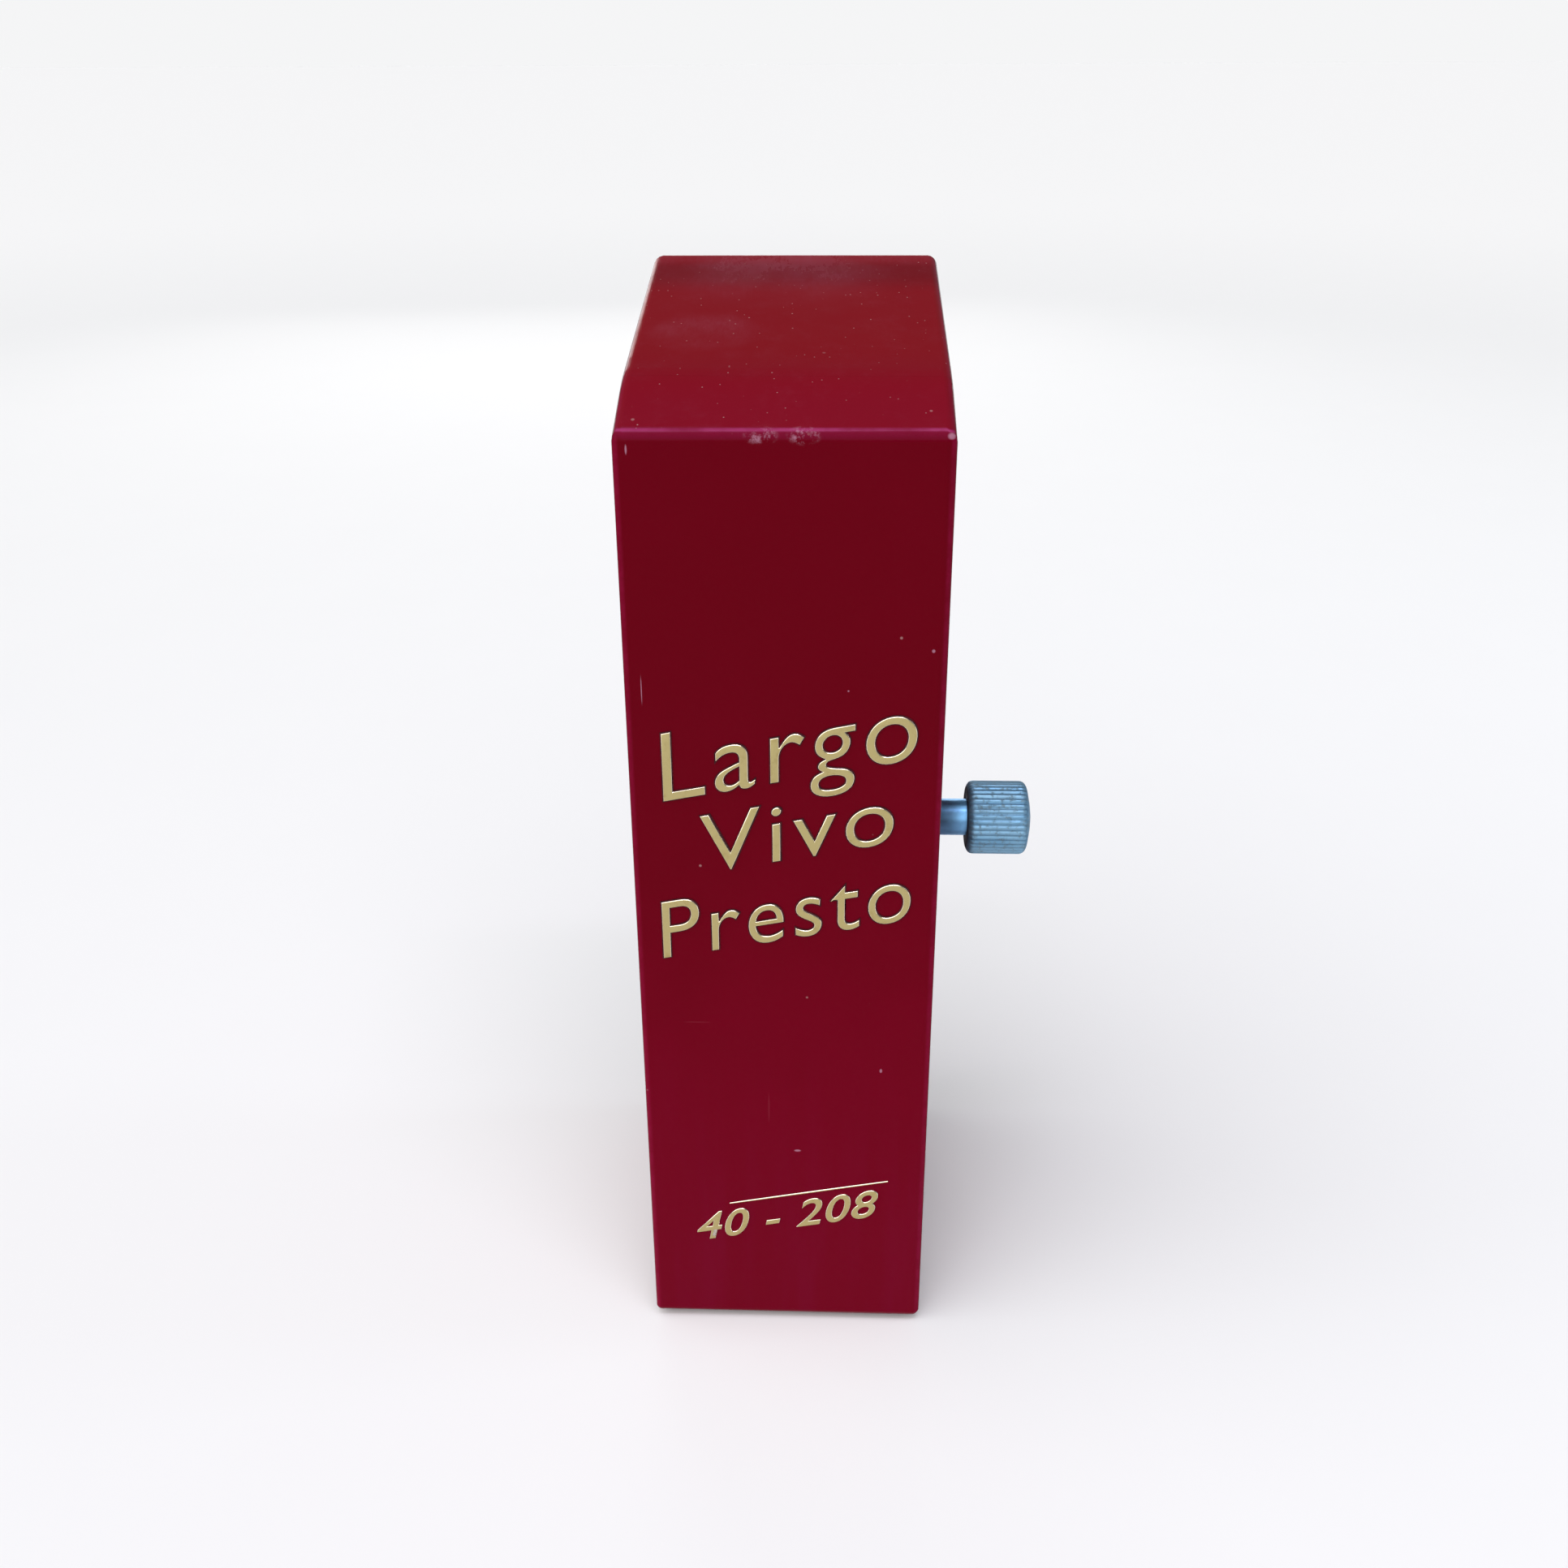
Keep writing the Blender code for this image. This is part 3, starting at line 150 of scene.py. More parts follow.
# words, middle x, baseline z at x = 0, capital height, length, all in mm
LINES = [
    ("Largo", 0.4, 75.3, 7.9, 26.6),
    ("Vivo", 1.2, 65.9, 7.0, 20.6),
    ("Presto", 0.0, 56.0, 7.2, 27.2),
]
RANGE_CAP, RANGE_LENGTH, RANGE_Z = 3.9 * MM, 22.0 * MM, 15.0 * MM
BAR_LENGTH, BAR_X, BAR_Z = 19.0 * MM, 2.6 * MM, 20.0 * MM
BAR_HALF, BAR_PROUD, BAR_SUNK = 0.13 * MM, 0.12 * MM, 0.02 * MM
BAR_SIDES, BAR_STEPS = 10, 24

# The scale and the rod
TEMPOS = [208, 192, 176, 160, 144, 132, 120, 108, 96, 84, 76, 69, 63, 58, 52, 46, 40]
FIGURE_CAP, FIGURE_X = 1.75 * MM, 7.9 * MM
LINE_IN, LONG_LINE_OUT, SHORT_LINE_OUT = 2.2 * MM, 5.4 * MM, 3.6 * MM
LONG_LINE_T, SHORT_LINE_T = 0.16 * MM, 0.10 * MM
NOTCH = 0.28 * MM
ROD_CHAMFER, ROD_TIP = 0.6 * MM, 1.0 * MM

# The felt pad
FELT_SEED = 11
FELT_COLUMNS, FELT_ROWS = 60, 56
FELT_CORNER = 1.6 * MM
FELT_ROUGH = 0.012 * MM
FELT_RIM = 0.94  # of the way out, where its faces start to close
FELT_PINCH = 0.55

# The studio. The floor fades to its far colour between two distances from the origin
FLOOR_SIZE, FLOOR_FADE = 60.0, (0.25, 1.6)
SUN_FROM, SUN_POWER, SUN_WIDTH = (-0.45, -0.75, 0.95), 3.2, 100
LAMPS_TARGET = Vector((0, 0, 60 * MM))
# name, place, width, height, watts, colour, spread in degrees
LAMPS = [
    ("right", (0.6, 0.05, 0.35), 0.12, 0.3, 0.35, (0.75, 0.88, 1.0), 180),
    ("behind", (-0.15, 0.9, 0.26), 0.5, 0.3, 0.4, (1.0, 0.97, 0.94), 100),
    ("overhead", (0.05, -0.25, 0.70), 0.45, 0.035, 0.75, (0.92, 0.80, 1.0), 180),
]
# The camera: where it stands and how it is turned, in degrees
LENS, SENSOR = 34.942, 36.0
CAMERA_AT = (4.7907 * MM, -165.8228 * MM, 143.952 * MM)
CAMERA_TURN = (64.42884, 0.22507, 1.84217)


# ---------------------------------------------------------------- node materials


class Finish:
    """A material built from nodes round one Principled shader."""

    def __init__(self, name, metallic=0.0, specular=0.5):
        self.material = bpy.data.materials.new(name)
        self.material.use_nodes = True
        self.tree = self.material.node_tree
        self.shader = self.tree.nodes["Principled BSDF"]
        self.shader.inputs["Metallic"].default_value = metallic
        self.shader.inputs["Specular IOR Level"].default_value = specular
        self.coords = self.tree.nodes.new("ShaderNodeTexCoord").outputs["Object"]

    def node(self, kind, **values):
        """A new node with some of its properties set."""
        made = self.tree.nodes.new(kind)
        for key, value in values.items():
            setattr(made, key, value)
        return made

    def feed(self, socket, value):
        """Links another node's output to a socket, or sets the socket's own value."""
        if isinstance(value, bpy.types.NodeSocket):
            self.tree.links.new(value, socket)
        else:
            socket.default_value = value

    def math(self, operation, first, second=0.0, clamp=False):
        made = self.node("ShaderNodeMath", operation=operation, use_clamp=clamp)
        self.feed(made.inputs[0], first)
        self.feed(made.inputs[1], second)
        return made.outputs[0]

    def hypot(self, first, second):
        squares = [self.math("MULTIPLY", side, side) for side in (first, second)]
        return self.math("SQRT", self.math("ADD", *squares))

    def stretch(self, scale, turn=(0.0, 0.0, 0.0)):
        """The object's coordinates, turned and scaled."""
        made = self.node("ShaderNodeMapping")
        self.feed(made.inputs["Vector"], self.coords)
        made.inputs["Rotation"].default_value = turn
        made.inputs["Scale"].default_value = scale
        return made.outputs[0]

    def noise(self, scale, detail=3.0, roughness=0.55, coords=None, distortion=0.0):
        made = self.node("ShaderNodeTexNoise")
        self.feed(made.inputs["Vector"], coords or self.coords)
        made.inputs["Scale"].default_value = scale
        made.inputs["Detail"].default_value = detail
        made.inputs["Roughness"].default_value = roughness
        made.inputs["Distortion"].default_value = distortion
        return made.outputs[0]

    def cells(self, scale, coords=None):
        made = self.node("ShaderNodeTexVoronoi")
        self.feed(made.inputs["Vector"], coords or self.coords)
        made.inputs["Scale"].default_value = scale
        return made

    def steps(self, value, low, high, out_low=0.0, out_high=1.0):
        """The value's range low..high, mapped softly to another range and clamped."""
        made = self.node("ShaderNodeMapRange", interpolation_type="SMOOTHSTEP")
        self.feed(made.inputs["Value"], value)
        made.inputs["From Min"].default_value = low
        made.inputs["From Max"].default_value = high
        made.inputs["To Min"].default_value = out_low
        made.inputs["To Max"].default_value = out_high
        return made.outputs[0]

    def blend(self, share, first, second):
        """A mix of two colours."""
        made = self.node("ShaderNodeMix", data_type="RGBA")
        self.feed(made.inputs[0], share)
        for socket, colour in ((made.inputs[6], first), (made.inputs[7], second)):
            if not isinstance(colour, bpy.types.NodeSocket):
                colour = (*colour, 1.0)
            self.feed(socket, colour)
        return made.outputs[2]

    def specks(self, scale, size, share, coords=None):
        """Small round dots, in a share of a scatter of cells."""
        cell = self.cells(scale, coords)
        dot = self.steps(cell.outputs["Distance"], size, size * 0.5)
        split = self.node("ShaderNodeSeparateColor")
        self.feed(split.inputs[0], cell.outputs["Color"])
        return self.math("MULTIPLY", dot, self.math("LESS_THAN", split.outputs[0], share))

    def vector(self, operation, first, second):
        made = self.node("ShaderNodeVectorMath", operation=operation)
        self.feed(made.inputs[0], first)
        made.inputs[1].default_value = second
        return made.outputs[0]

    def length(self, vector):
        made = self.node("ShaderNodeVectorMath", operation="LENGTH")
        self.feed(made.inputs[0], vector)
        return made.outputs["Value"]

    def mark(self, centre, radii):
        """1 inside an ellipsoid of the object's space and softly 0 outside it, in millimetres."""
        away = self.vector("SUBTRACT", self.coords, [c * MM for c in centre])
        share = self.vector("DIVIDE", away, [r * MM for r in radii])
        return self.steps(self.length(share), 1.0, 0.45)

    def lines(self, scale, stretch, turn, width, share):
        """Fine scratches: cells drawn out along one direction and cut short."""
        coords = self.stretch(stretch, turn)
        return self.specks(scale, width, share, coords)

    def bumps(self, *layers):
        """Heights in metres, each with its own distance, added on the shader's normal."""
        normal = None
        for height, distance in layers:
            made = self.node("ShaderNodeBump")
            made.inputs["Strength"].default_value = 1.0
            made.inputs["Distance"].default_value = distance
            self.feed(made.inputs["Height"], height)
            if normal:
                self.feed(made.inputs["Normal"], normal)
            normal = made.outputs[0]
        self.feed(self.shader.inputs["Normal"], normal)

    def axes(self):
        """The object's x, y and z."""
        made = self.node("ShaderNodeSeparateXYZ")
        self.feed(made.inputs[0], self.coords)
        return made.outputs

    def facing(self, axis):
        """How far the surface faces along an axis of the object."""
        geometry = self.node("ShaderNodeNewGeometry")
        turned = self.node(
            "ShaderNodeVectorTransform",
            vector_type="NORMAL",
            convert_from="WORLD",
            convert_to="OBJECT",
        )
        self.feed(turned.inputs[0], geometry.outputs["Normal"])
        split = self.node("ShaderNodeSeparateXYZ")
        self.feed(split.inputs[0], turned.outputs[0])
        return split.outputs[axis]

    def finish(self, colour, roughness):
        self.feed(self.shader.inputs["Base Color"], colour)
        self.feed(self.shader.inputs["Roughness"], roughness)
        return self.material


def crimson_plastic():
    """Glossy moulded plastic, handled: dust and haze on top, specks, hairlines, worn edges, with
    painted light on the top and along the front's top edge.
    """
    made = Finish("crimson_plastic", specular=0.032)
    x, y, z = made.axes()
    up = made.steps(made.facing(2), 0.35, 0.85)
    low = made.steps(z, 100 * MM, 15 * MM, 0.0, 0.65)
    cloud = made.math("ADD", low, made.math("MULTIPLY", made.noise(70.0, 2.0), 0.5))
    base = made.blend(made.steps(cloud, 0.2, 0.95), DEEP_RED, RED)
    streaks = made.noise(60.0, 3.0, coords=made.stretch((6.0, 6.0, 0.6)))
    bloom = made.steps(z, 50 * MM, 4 * MM)
    bloom = made.math("MULTIPLY", bloom, made.steps(streaks, 0.35, 0.75, 0.2, 1.0))
    base = made.blend(made.math("MULTIPLY", bloom, 0.6), base, FOOT_RED)

    # The top, painted lighter than the front as a painted sheen: cooler along the front, warmer
    # behind, with a painted dark reflection in a band near the back
    behind = made.steps(y, LID_LOW.y + 2 * MM, BODY_LOW.y + 8 * MM)
    top_sheen = made.blend(behind, TOP_FRONT_SHEEN_RED, TOP_BACK_SHEEN_RED)
    shade = made.steps(y, BODY_HIGH.y - 13 * MM, BODY_HIGH.y - 7 * MM)
    shade = made.math("MULTIPLY", shade, made.steps(y, BODY_HIGH.y - 2 * MM, BODY_HIGH.y - 5 * MM))
    top_sheen = made.blend(made.math("MULTIPLY", shade, 0.75), top_sheen, TOP_SHADE_RED)
    base = made.blend(made.math("MULTIPLY", up, 0.92), base, top_sheen)
    haze = dust_film(made, x, y, up)
    base = made.blend(made.math("MULTIPLY", haze, 0.32), base, HAZE_AND_SHEEN)

    # Dust specks and short hairs, more of them on the top
    specks = made.math("MAXIMUM", made.specks(430.0, 0.085, 0.05), made.specks(170.0, 0.04, 0.07))
    specks = made.math("MULTIPLY", specks, 0.8)
    settled = made.math("MAXIMUM", made.specks(640.0, 0.07, 0.26), made.specks(1200.0, 0.11, 0.3))
    specks = made.math("MAXIMUM", specks, made.math("MULTIPLY", settled, up))
    hairs = made.lines(150.0, (1.0, 1.0, 0.13), (0.2, 0.0, 0.35), 0.035, 0.12)
    short = made.lines(420.0, (1.0, 0.22, 1.0), (0.0, 0.0, 0.5), 0.06, 0.4)
    hairs = made.math("MAXIMUM", hairs, made.math("MULTIPLY", short, up))
    dust = made.math("MAXIMUM", specks, made.math("MULTIPLY", hairs, 0.5))
    dust = made.math("MULTIPLY", dust, made.steps(made.noise(90.0, 3.0), 0.3, 0.7, 0.2, 0.7))
    base = made.blend(dust, base, DUST)

    # Edges handled until they are paler, most along the front's top edge, which is scuffed and also
    # carries a painted highlight on its bevel
    edge = edge_share(made, x, y, z)
    patchy = made.steps(made.noise(600.0, 4.0, 0.7), 0.3, 0.75, 0.12, 0.32)
    worn = made.math("MULTIPLY", edge, patchy)
    base = made.blend(worn, base, EDGE_RED)
    rise = made.facing(2)
    # Painted highlight on the front's top bevel: a magenta band, with a thin bright line along its
    # crest
    lip_highlight = made.steps(y, LID_LOW.y + 1.0 * MM, LID_LOW.y + 0.55 * MM)
    lip_highlight = made.math("MULTIPLY", lip_highlight, made.steps(rise, 0.05, 0.4))
    base = made.blend(made.math("MULTIPLY", lip_highlight, 0.6), base, LIP_HIGHLIGHT_RED)
    crest_highlight = made.math("MULTIPLY", made.steps(rise, 0.56, 0.68), made.steps(rise, 0.82, 0.72))
    broken = made.steps(made.noise(230.0, 3.0, 0.6), 0.3, 0.65, 0.25, 0.8)
    crest_highlight = made.math("MULTIPLY", crest_highlight, broken)
    base = made.blend(made.math("MULTIPLY", crest_highlight, lip_highlight), base, CREST_HIGHLIGHT_RED)
    scuffs = made.math("MAXIMUM", *(made.mark((at, LIP_Y, LIP_Z), SCUFF_SIZE) for at in SCUFF_AT))
    rough_spots = made.steps(made.noise(700.0, 4.0, 0.7), 0.45, 0.62)
    dents_and_glint = made.math("MULTIPLY", scuffs, rough_spots)
    # The first of these marks is a painted glint at the right end of the front's top edge
    for centre, radii in MARKS_AND_GLINT:
        dents_and_glint = made.math("MAXIMUM", dents_and_glint, made.mark(centre, radii))
    base = made.blend(made.math("MULTIPLY", dents_and_glint, 0.42), base, DENT_AND_GLINT)

    scratches = made.lines(520.0, (0.05, 1.0, 1.0), (0.0, 0.62, 0.3), 0.05, 0.3)
    steep = made.lines(470.0, (1.0, 1.0, 0.04), (0.15, -0.2, 0.0), 0.05, 0.25)
    scratches = made.math("MAXIMUM", scratches, steep)
    base = made.blend(made.math("MULTIPLY", scratches, 0.09), base, SCRATCH)
    rough = made.steps(made.noise(160.0, 4.0), 0.25, 0.8, 0.12, 0.22)
    for layer, share in ((haze, 0.35), (dust, 0.4), (dents_and_glint, 0.2), (scratches, 0.12)):
        rough = made.math("ADD", rough, made.math("MULTIPLY", layer, share), clamp=True)
    made.bumps(
        (made.noise(140.0, 2.0), 0.00006),
        (made.math("SUBTRACT", dust, scratches), 0.000006),
        (dents_and_glint, -0.00002),
    )
    return made.finish(base, rough)


def dust_film(made, x, y, up):
    """A swath of haze across the back of the top, wiped into fine streaks that run forwards, and
    along the back edge a pale strip that is a painted reflection.
    """
    aside = made.math("MULTIPLY", made.math("ADD", x, 2 * MM), 0.8)
    ahead = made.math("SUBTRACT", y, BODY_HIGH.y - 5 * MM)
    swath = made.steps(made.hypot(aside, ahead), 13 * MM, 1 * MM)
    # The pale strip along the back edge is a painted reflection, mottled like the haze
    rear = made.steps(y, BODY_HIGH.y - 5 * MM, BODY_HIGH.y - 2 * MM, 0.0, 0.6)
    patch = made.mark((-9.0, -2.0, LIP_Z + 6.0), (7.0, 6.0, 6.0))
    where = made.math("MAXIMUM", rear, made.math("MULTIPLY", patch, 0.5))
    where = made.math("MAXIMUM", swath, where)
    clouds = made.steps(made.noise(120.0, 4.0, 0.6), 0.25, 0.75, 0.15, 1.0)
    wiped = made.stretch((1.0, 0.16, 1.0), (0.0, 0.0, 0.3))
    flecks = made.steps(made.noise(2400.0, 5.0, 0.75, wiped), 0.3, 0.8, 0.4, 0.95)
    film = made.math("MULTIPLY", where, made.math("MULTIPLY", clouds, flecks))
    thin = made.math("MULTIPLY", made.steps(made.noise(300.0, 5.0, 0.8), 0.45, 0.85), 0.12)
    return made.math("MULTIPLY", up, made.math("ADD", film, thin), clamp=True)


def edge_share(made, x, y, z):
    """1 along the case's outer edges, falling to 0 about half a millimetre in."""
    side = made.steps(made.math("ABSOLUTE", x), LID_HIGH.x - 0.75 * MM, LID_HIGH.x - 0.35 * MM)
    front = made.steps(y, LID_LOW.y + 0.8 * MM, LID_LOW.y + 0.35 * MM)
    back = made.steps(y, BODY_HIGH.y - 0.8 * MM, BODY_HIGH.y - 0.35 * MM)
    ends = made.math("MAXIMUM", front, back)
    # The top's height falls towards the front, so the top is where the surface faces up
    top = made.steps(made.facing(2), 0.25, 0.6)
    foot = made.steps(z, LID_LOW.z + 0.8 * MM, LID_LOW.z + 0.3 * MM)
    caps = made.math("MAXIMUM", top, foot)
    pairs = made.math("MULTIPLY", side, ends)
    pairs = made.math("MAXIMUM", pairs, made.math("MULTIPLY", caps, ends))
    return made.math("MAXIMUM", pairs, made.math("MULTIPLY", caps, side))


def gold_foil():
    """Stamped gold: a satin face with a faint grain, and a painted glint on the bevels, where the
    colour turns nearly white.
    """
    made = Finish("gold_foil", metallic=1.0)
    worn = made.steps(made.noise(500.0, 4.0, 0.7), 0.50, 0.75)
    colour = made.blend(worn, GOLD, GOLD_WORN)
    # Painted glint: on the bevels, turned from the front, the colour turns nearly white
    face = made.steps(made.math("MULTIPLY", made.facing(1), -1.0), 0.80, 0.97)
    colour = made.blend(face, GOLD_GLINT, colour)
    grain = made.noise(2600.0, 2.0, coords=made.stretch((0.25, 1.0, 1.0)))
    rough = made.steps(made.noise(700.0, 3.0), 0.3, 0.7, 0.26, 0.42)
    rough = made.math("MULTIPLY", rough, made.steps(face, 0.0, 1.0, 0.4, 1.0))
    made.bumps((grain, 0.000006), (made.noise(260.0, 2.0), 0.00002))
    return made.finish(colour, rough)


def pressed_plastic():
    """Dark crimson round the letters, mottled: a painted shadow along their edges."""
    made = Finish("pressed_plastic", specular=0.2)
    mottle = made.steps(made.noise(900.0, 4.0, 0.7), 0.35, 0.7)
    colour = made.blend(mottle, *SHADOW_RIM_REDS)
    made.bumps((mottle, 0.00001))
    return made.finish(colour, made.steps(mottle, 0.0, 1.0, 0.2, 0.4))


def ribbed_aluminium():
    """Dull aluminium with grime between its flutes and pitting on their crests, tinted blue as a
    painted reflection of a blue sky, its inner end face darkened as painted shade.
    """
    made = Finish("ribbed_aluminium", metallic=0.75)
    x, y, z = made.axes()
    radius = made.hypot(made.math("SUBTRACT", y, ARBOR_Y), made.math("SUBTRACT", z, ARBOR_Z))
    groove = made.steps(radius, KNOB_RADIUS - 0.06 * MM, KNOB_RADIUS - 0.26 * MM)
    pits = made.steps(made.noise(1500.0, 5.0, 0.8), 0.52, 0.66)
    streaks = made.noise(800.0, 3.0, 0.6, made.stretch((0.06, 1.0, 1.0)))
    cloud = made.steps(made.noise(260.0, 3.0), 0.3, 0.7)
    # Painted reflection: the blue tint stands in for a blue sky
    colour = made.blend(cloud, *KNOB_SKY_BLUES)
    colour = made.blend(made.steps(streaks, 0.3, 0.75, 0.0, 0.5), colour, KNOB_STREAK)
    grime = made.steps(made.noise(330.0, 4.0, 0.7), 0.3, 0.75, 0.25, 0.8)
    colour = made.blend(made.math("MULTIPLY", groove, grime), colour, KNOB_GRIME)
    colour = made.blend(made.math("MULTIPLY", pits, 0.6), colour, KNOB_PIT)
    # Painted shade on the inner end face, which is turned away from the light
    inner_end_shade = made.steps(x, KNOB_LOW.x + 0.12 * MM, KNOB_LOW.x + 0.03 * MM)
    colour = made.blend(made.math("MULTIPLY", inner_end_shade, 0.8), colour, KNOB_INNER_SHADE)
    rough = made.steps(cloud, 0.0, 1.0, 0.36, 0.5)
    rough = made.math("ADD", rough, made.math("MULTIPLY", groove, 0.2))
    grain = made.noise(2200.0, 4.0, 0.75, made.stretch((0.35, 1.0, 1.0)))
    made.bumps((grain, 0.000022), (pits, -0.000018))
    return made.finish(colour, rough)


def machined(name, light, dark, roughness, grain=(1.0, 1.0, 1.0), scale=1800.0):
    """Machined metal: tool marks along one direction, light tarnish and a few dark spots."""
    made = Finish(name, metallic=1.0)
    marks = made.noise(scale, 4.0, 0.7, made.stretch(grain))
    tarnish = made.noise(180.0, 4.0, 0.65)
    colour = made.blend(made.steps(tarnish, 0.35, 0.7), light, dark)
    stain = made.steps(made.noise(420.0, 5.0, 0.75), 0.6, 0.74, 0.0, 0.3)
    colour = made.blend(stain, colour, [STAIN * c for c in dark])
    rough = made.steps(marks, 0.25, 0.75, roughness - 0.07, roughness + 0.09)
    rough = made.math("ADD", rough, stain)
    made.bumps((marks, 0.000012), (tarnish, 0.00001))
    return made.finish(colour, rough)


def turned_metal(name, light, dark, roughness, centre):
    """Metal faced on a lathe: fine rings about a line along X, with light tarnish."""
    made = Finish(name, metallic=1.0)
    away = made.vector("SUBTRACT", made.coords, centre)
    flat = made.vector("MULTIPLY", away, (0.0, 1.0, 1.0))
    wobble = made.math("MULTIPLY", made.noise(160.0, 3.0), 0.35 * MM)
    radius = made.math("ADD", made.length(flat), wobble)
    rings = made.math("SINE", made.math("MULTIPLY", radius, math.tau / TOOL_SPACING))
    tarnish = made.noise(220.0, 4.0, 0.65)
    colour = made.blend(made.steps(tarnish, 0.35, 0.72), light, dark)
    stain = made.steps(made.noise(480.0, 5.0, 0.75), 0.6, 0.75, 0.0, 0.35)
    colour = made.blend(stain, colour, [STAIN * c for c in dark])
    rough = made.steps(rings, -1.0, 1.0, roughness - 0.05, roughness + 0.07)
    rough = made.math("ADD", rough, stain)
    made.bumps((rings, 0.0000022), (tarnish, 0.00001))
    return made.finish(colour, rough)


def moulded_black():
    """Black moulded plastic with a fine spark-eroded grain, dust and finger wear."""
    made = Finish("moulded_black", specular=0.45)
    grain = made.noise(3800.0, 3.0, 0.6)
    cloud = made.noise(130.0, 4.0, 0.6)
    colour = made.blend(made.steps(cloud, 0.3, 0.75), *BLACKS)
    dust = made.specks(600.0, 0.10, 0.06)
    colour = made.blend(made.math("MULTIPLY", dust, 0.7), colour, BLACK_DUST)
    rough = made.steps(cloud, 0.3, 0.75, 0.36, 0.52)
    rough = made.math("ADD", rough, made.math("MULTIPLY", dust, 0.3))
    made.bumps((grain, 0.00002), (dust, 0.00001))
    return made.finish(colour, rough)


def felt():
    """Dense black wool felt: matted fibres, lint and flattened patches."""
    made = Finish("felt", specular=0.15)
    made.shader.inputs["Sheen Weight"].default_value = 0.4
    made.shader.inputs["Sheen Roughness"].default_value = 0.6
    fibres = made.noise(5200.0, 5.0, 0.75, made.stretch((1.0, 0.3, 1.0), (0, 0, 0.6)), 1.5)
    across = made.noise(4700.0, 5.0, 0.75, made.stretch((0.3, 1.0, 1.0), (0, 0, 0.4)), 1.5)
    matted = made.math("MAXIMUM", fibres, across)
    worn = made.noise(150.0, 3.0)
    colour = made.blend(made.steps(matted, 0.4, 0.75), *FELT_BLACKS)
    lint = made.specks(900.0, 0.12, 0.05)
    colour = made.blend(made.math("MULTIPLY", lint, 0.5), colour, LINT)
    made.bumps((matted, 0.00012), (worn, 0.00006))
    return made.finish(colour, made.steps(worn, 0.3, 0.7, 0.86, 0.98))


def scale_metal():
    """Pale gold anodised sheet, brushed along its length, duller where it was handled."""
    made = Finish("scale_metal", metallic=1.0)
    brush = made.noise(2400.0, 4.0, 0.7, made.stretch((1.0, 1.0, 0.035)))
    cloud = made.noise(110.0, 4.0, 0.6)
    colour = made.blend(made.steps(brush, 0.3, 0.7), *SCALE_GOLDS)
    colour = made.blend(made.steps(cloud, 0.5, 0.8, 0.0, 0.5), colour, SCALE_DULL)
    rough = made.steps(cloud, 0.3, 0.8, 0.27, 0.4)
    rough = made.math("ADD", rough, made.math("MULTIPLY", brush, 0.1))
    made.bumps((brush, 0.000008),)
    return made.finish(colour, rough)


def ink():
    """Matt black printing ink with thin spots."""
    made = Finish("ink", specular=0.3)
    thin = made.steps(made.noise(1600.0, 4.0, 0.7), 0.45, 0.8)
    colour = made.blend(thin, *INKS)
    made.bumps((thin, 0.000006))
    return made.finish(colour, made.steps(thin, 0.0, 1.0, 0.5, 0.7))


# ---------------------------------------------------------------- mesh helpers


def new_piece(name, mesh, finish, body, replaced=()):
    """Puts a finished mesh in the scene on its body."""
    obj = bpy.data.objects.new(name, mesh)
    bpy.context.scene.collection.objects.link(obj)
    obj.data.materials.clear()
    obj.data.materials.append(finish)
    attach(obj, body)
    if replaced:
        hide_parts(*replaced)
    return obj


def mesh_from(work, name, smooth_angle):
    """A bmesh made into a mesh, smooth but for edges over an angle in degrees."""
    bmesh.ops.recalc_face_normals(work, faces=work.faces)
    mesh = bpy.data.meshes.new(name)
    work.to_mesh(mesh)
    work.free()
    forget_normals(mesh)
    mesh.shade_smooth()
    mesh.set_sharp_from_angle(angle=math.radians(smooth_angle))
    return mesh


def forget_normals(mesh):
    """Drops normals stored by the importer, so that they are worked out from the faces."""
    for name in ("custom_normal", "sharp_edge", "sharp_face"):
        if name in mesh.attributes:
            mesh.attributes.remove(mesh.attributes[name])


def lathe(profile, centre, steps):
    """A closed solid turned about a line along X, from a profile in (x, radius) from end to end."""
    work = bmesh.new()
    rings = []
    for x, radius in profile:
        if radius < 1e-7:
            rings.append([work.verts.new((x, centre[0], centre[1]))])
            continue
        turn = [math.tau * i / steps for i in range(steps)]
        rings.append([
            work.verts.new((x, centre[0] + radius * math.cos(a), centre[1] + radius * math.sin(a)))
            for a in turn
        ])
    for first, second in zip(rings, rings[1:]):
        for i in range(steps):
            j = (i + 1) % steps
            if len(first) == 1:
                work.faces.new((first[0], second[i], second[j]))
            elif len(second) == 1:
                work.faces.new((first[i], second[0], first[j]))
            else:
                work.faces.new((first[i], second[i], second[j], first[j]))
    return work


def smooth_node(node, bevel):
    """A CAD node welded and shaded smooth by modifiers, which leave its own vertices alone."""
    obj = NODES[node]
    forget_normals(obj.data)
    join = obj.modifiers.new("join", "WELD")
    join.merge_threshold = NODE_WELD
    if bevel:
        soft = obj.modifiers.new("soft_edges", "BEVEL")
        soft.width = bevel * MM
        soft.segments = 2
        soft.limit_method = "ANGLE"
        soft.angle_limit = math.radians(SHARP)
        soft.harden_normals = False
    even = obj.modifiers.new("even_normals", "WEIGHTED_NORMAL")
    even.keep_sharp = True
    even.weight = 80
    return obj


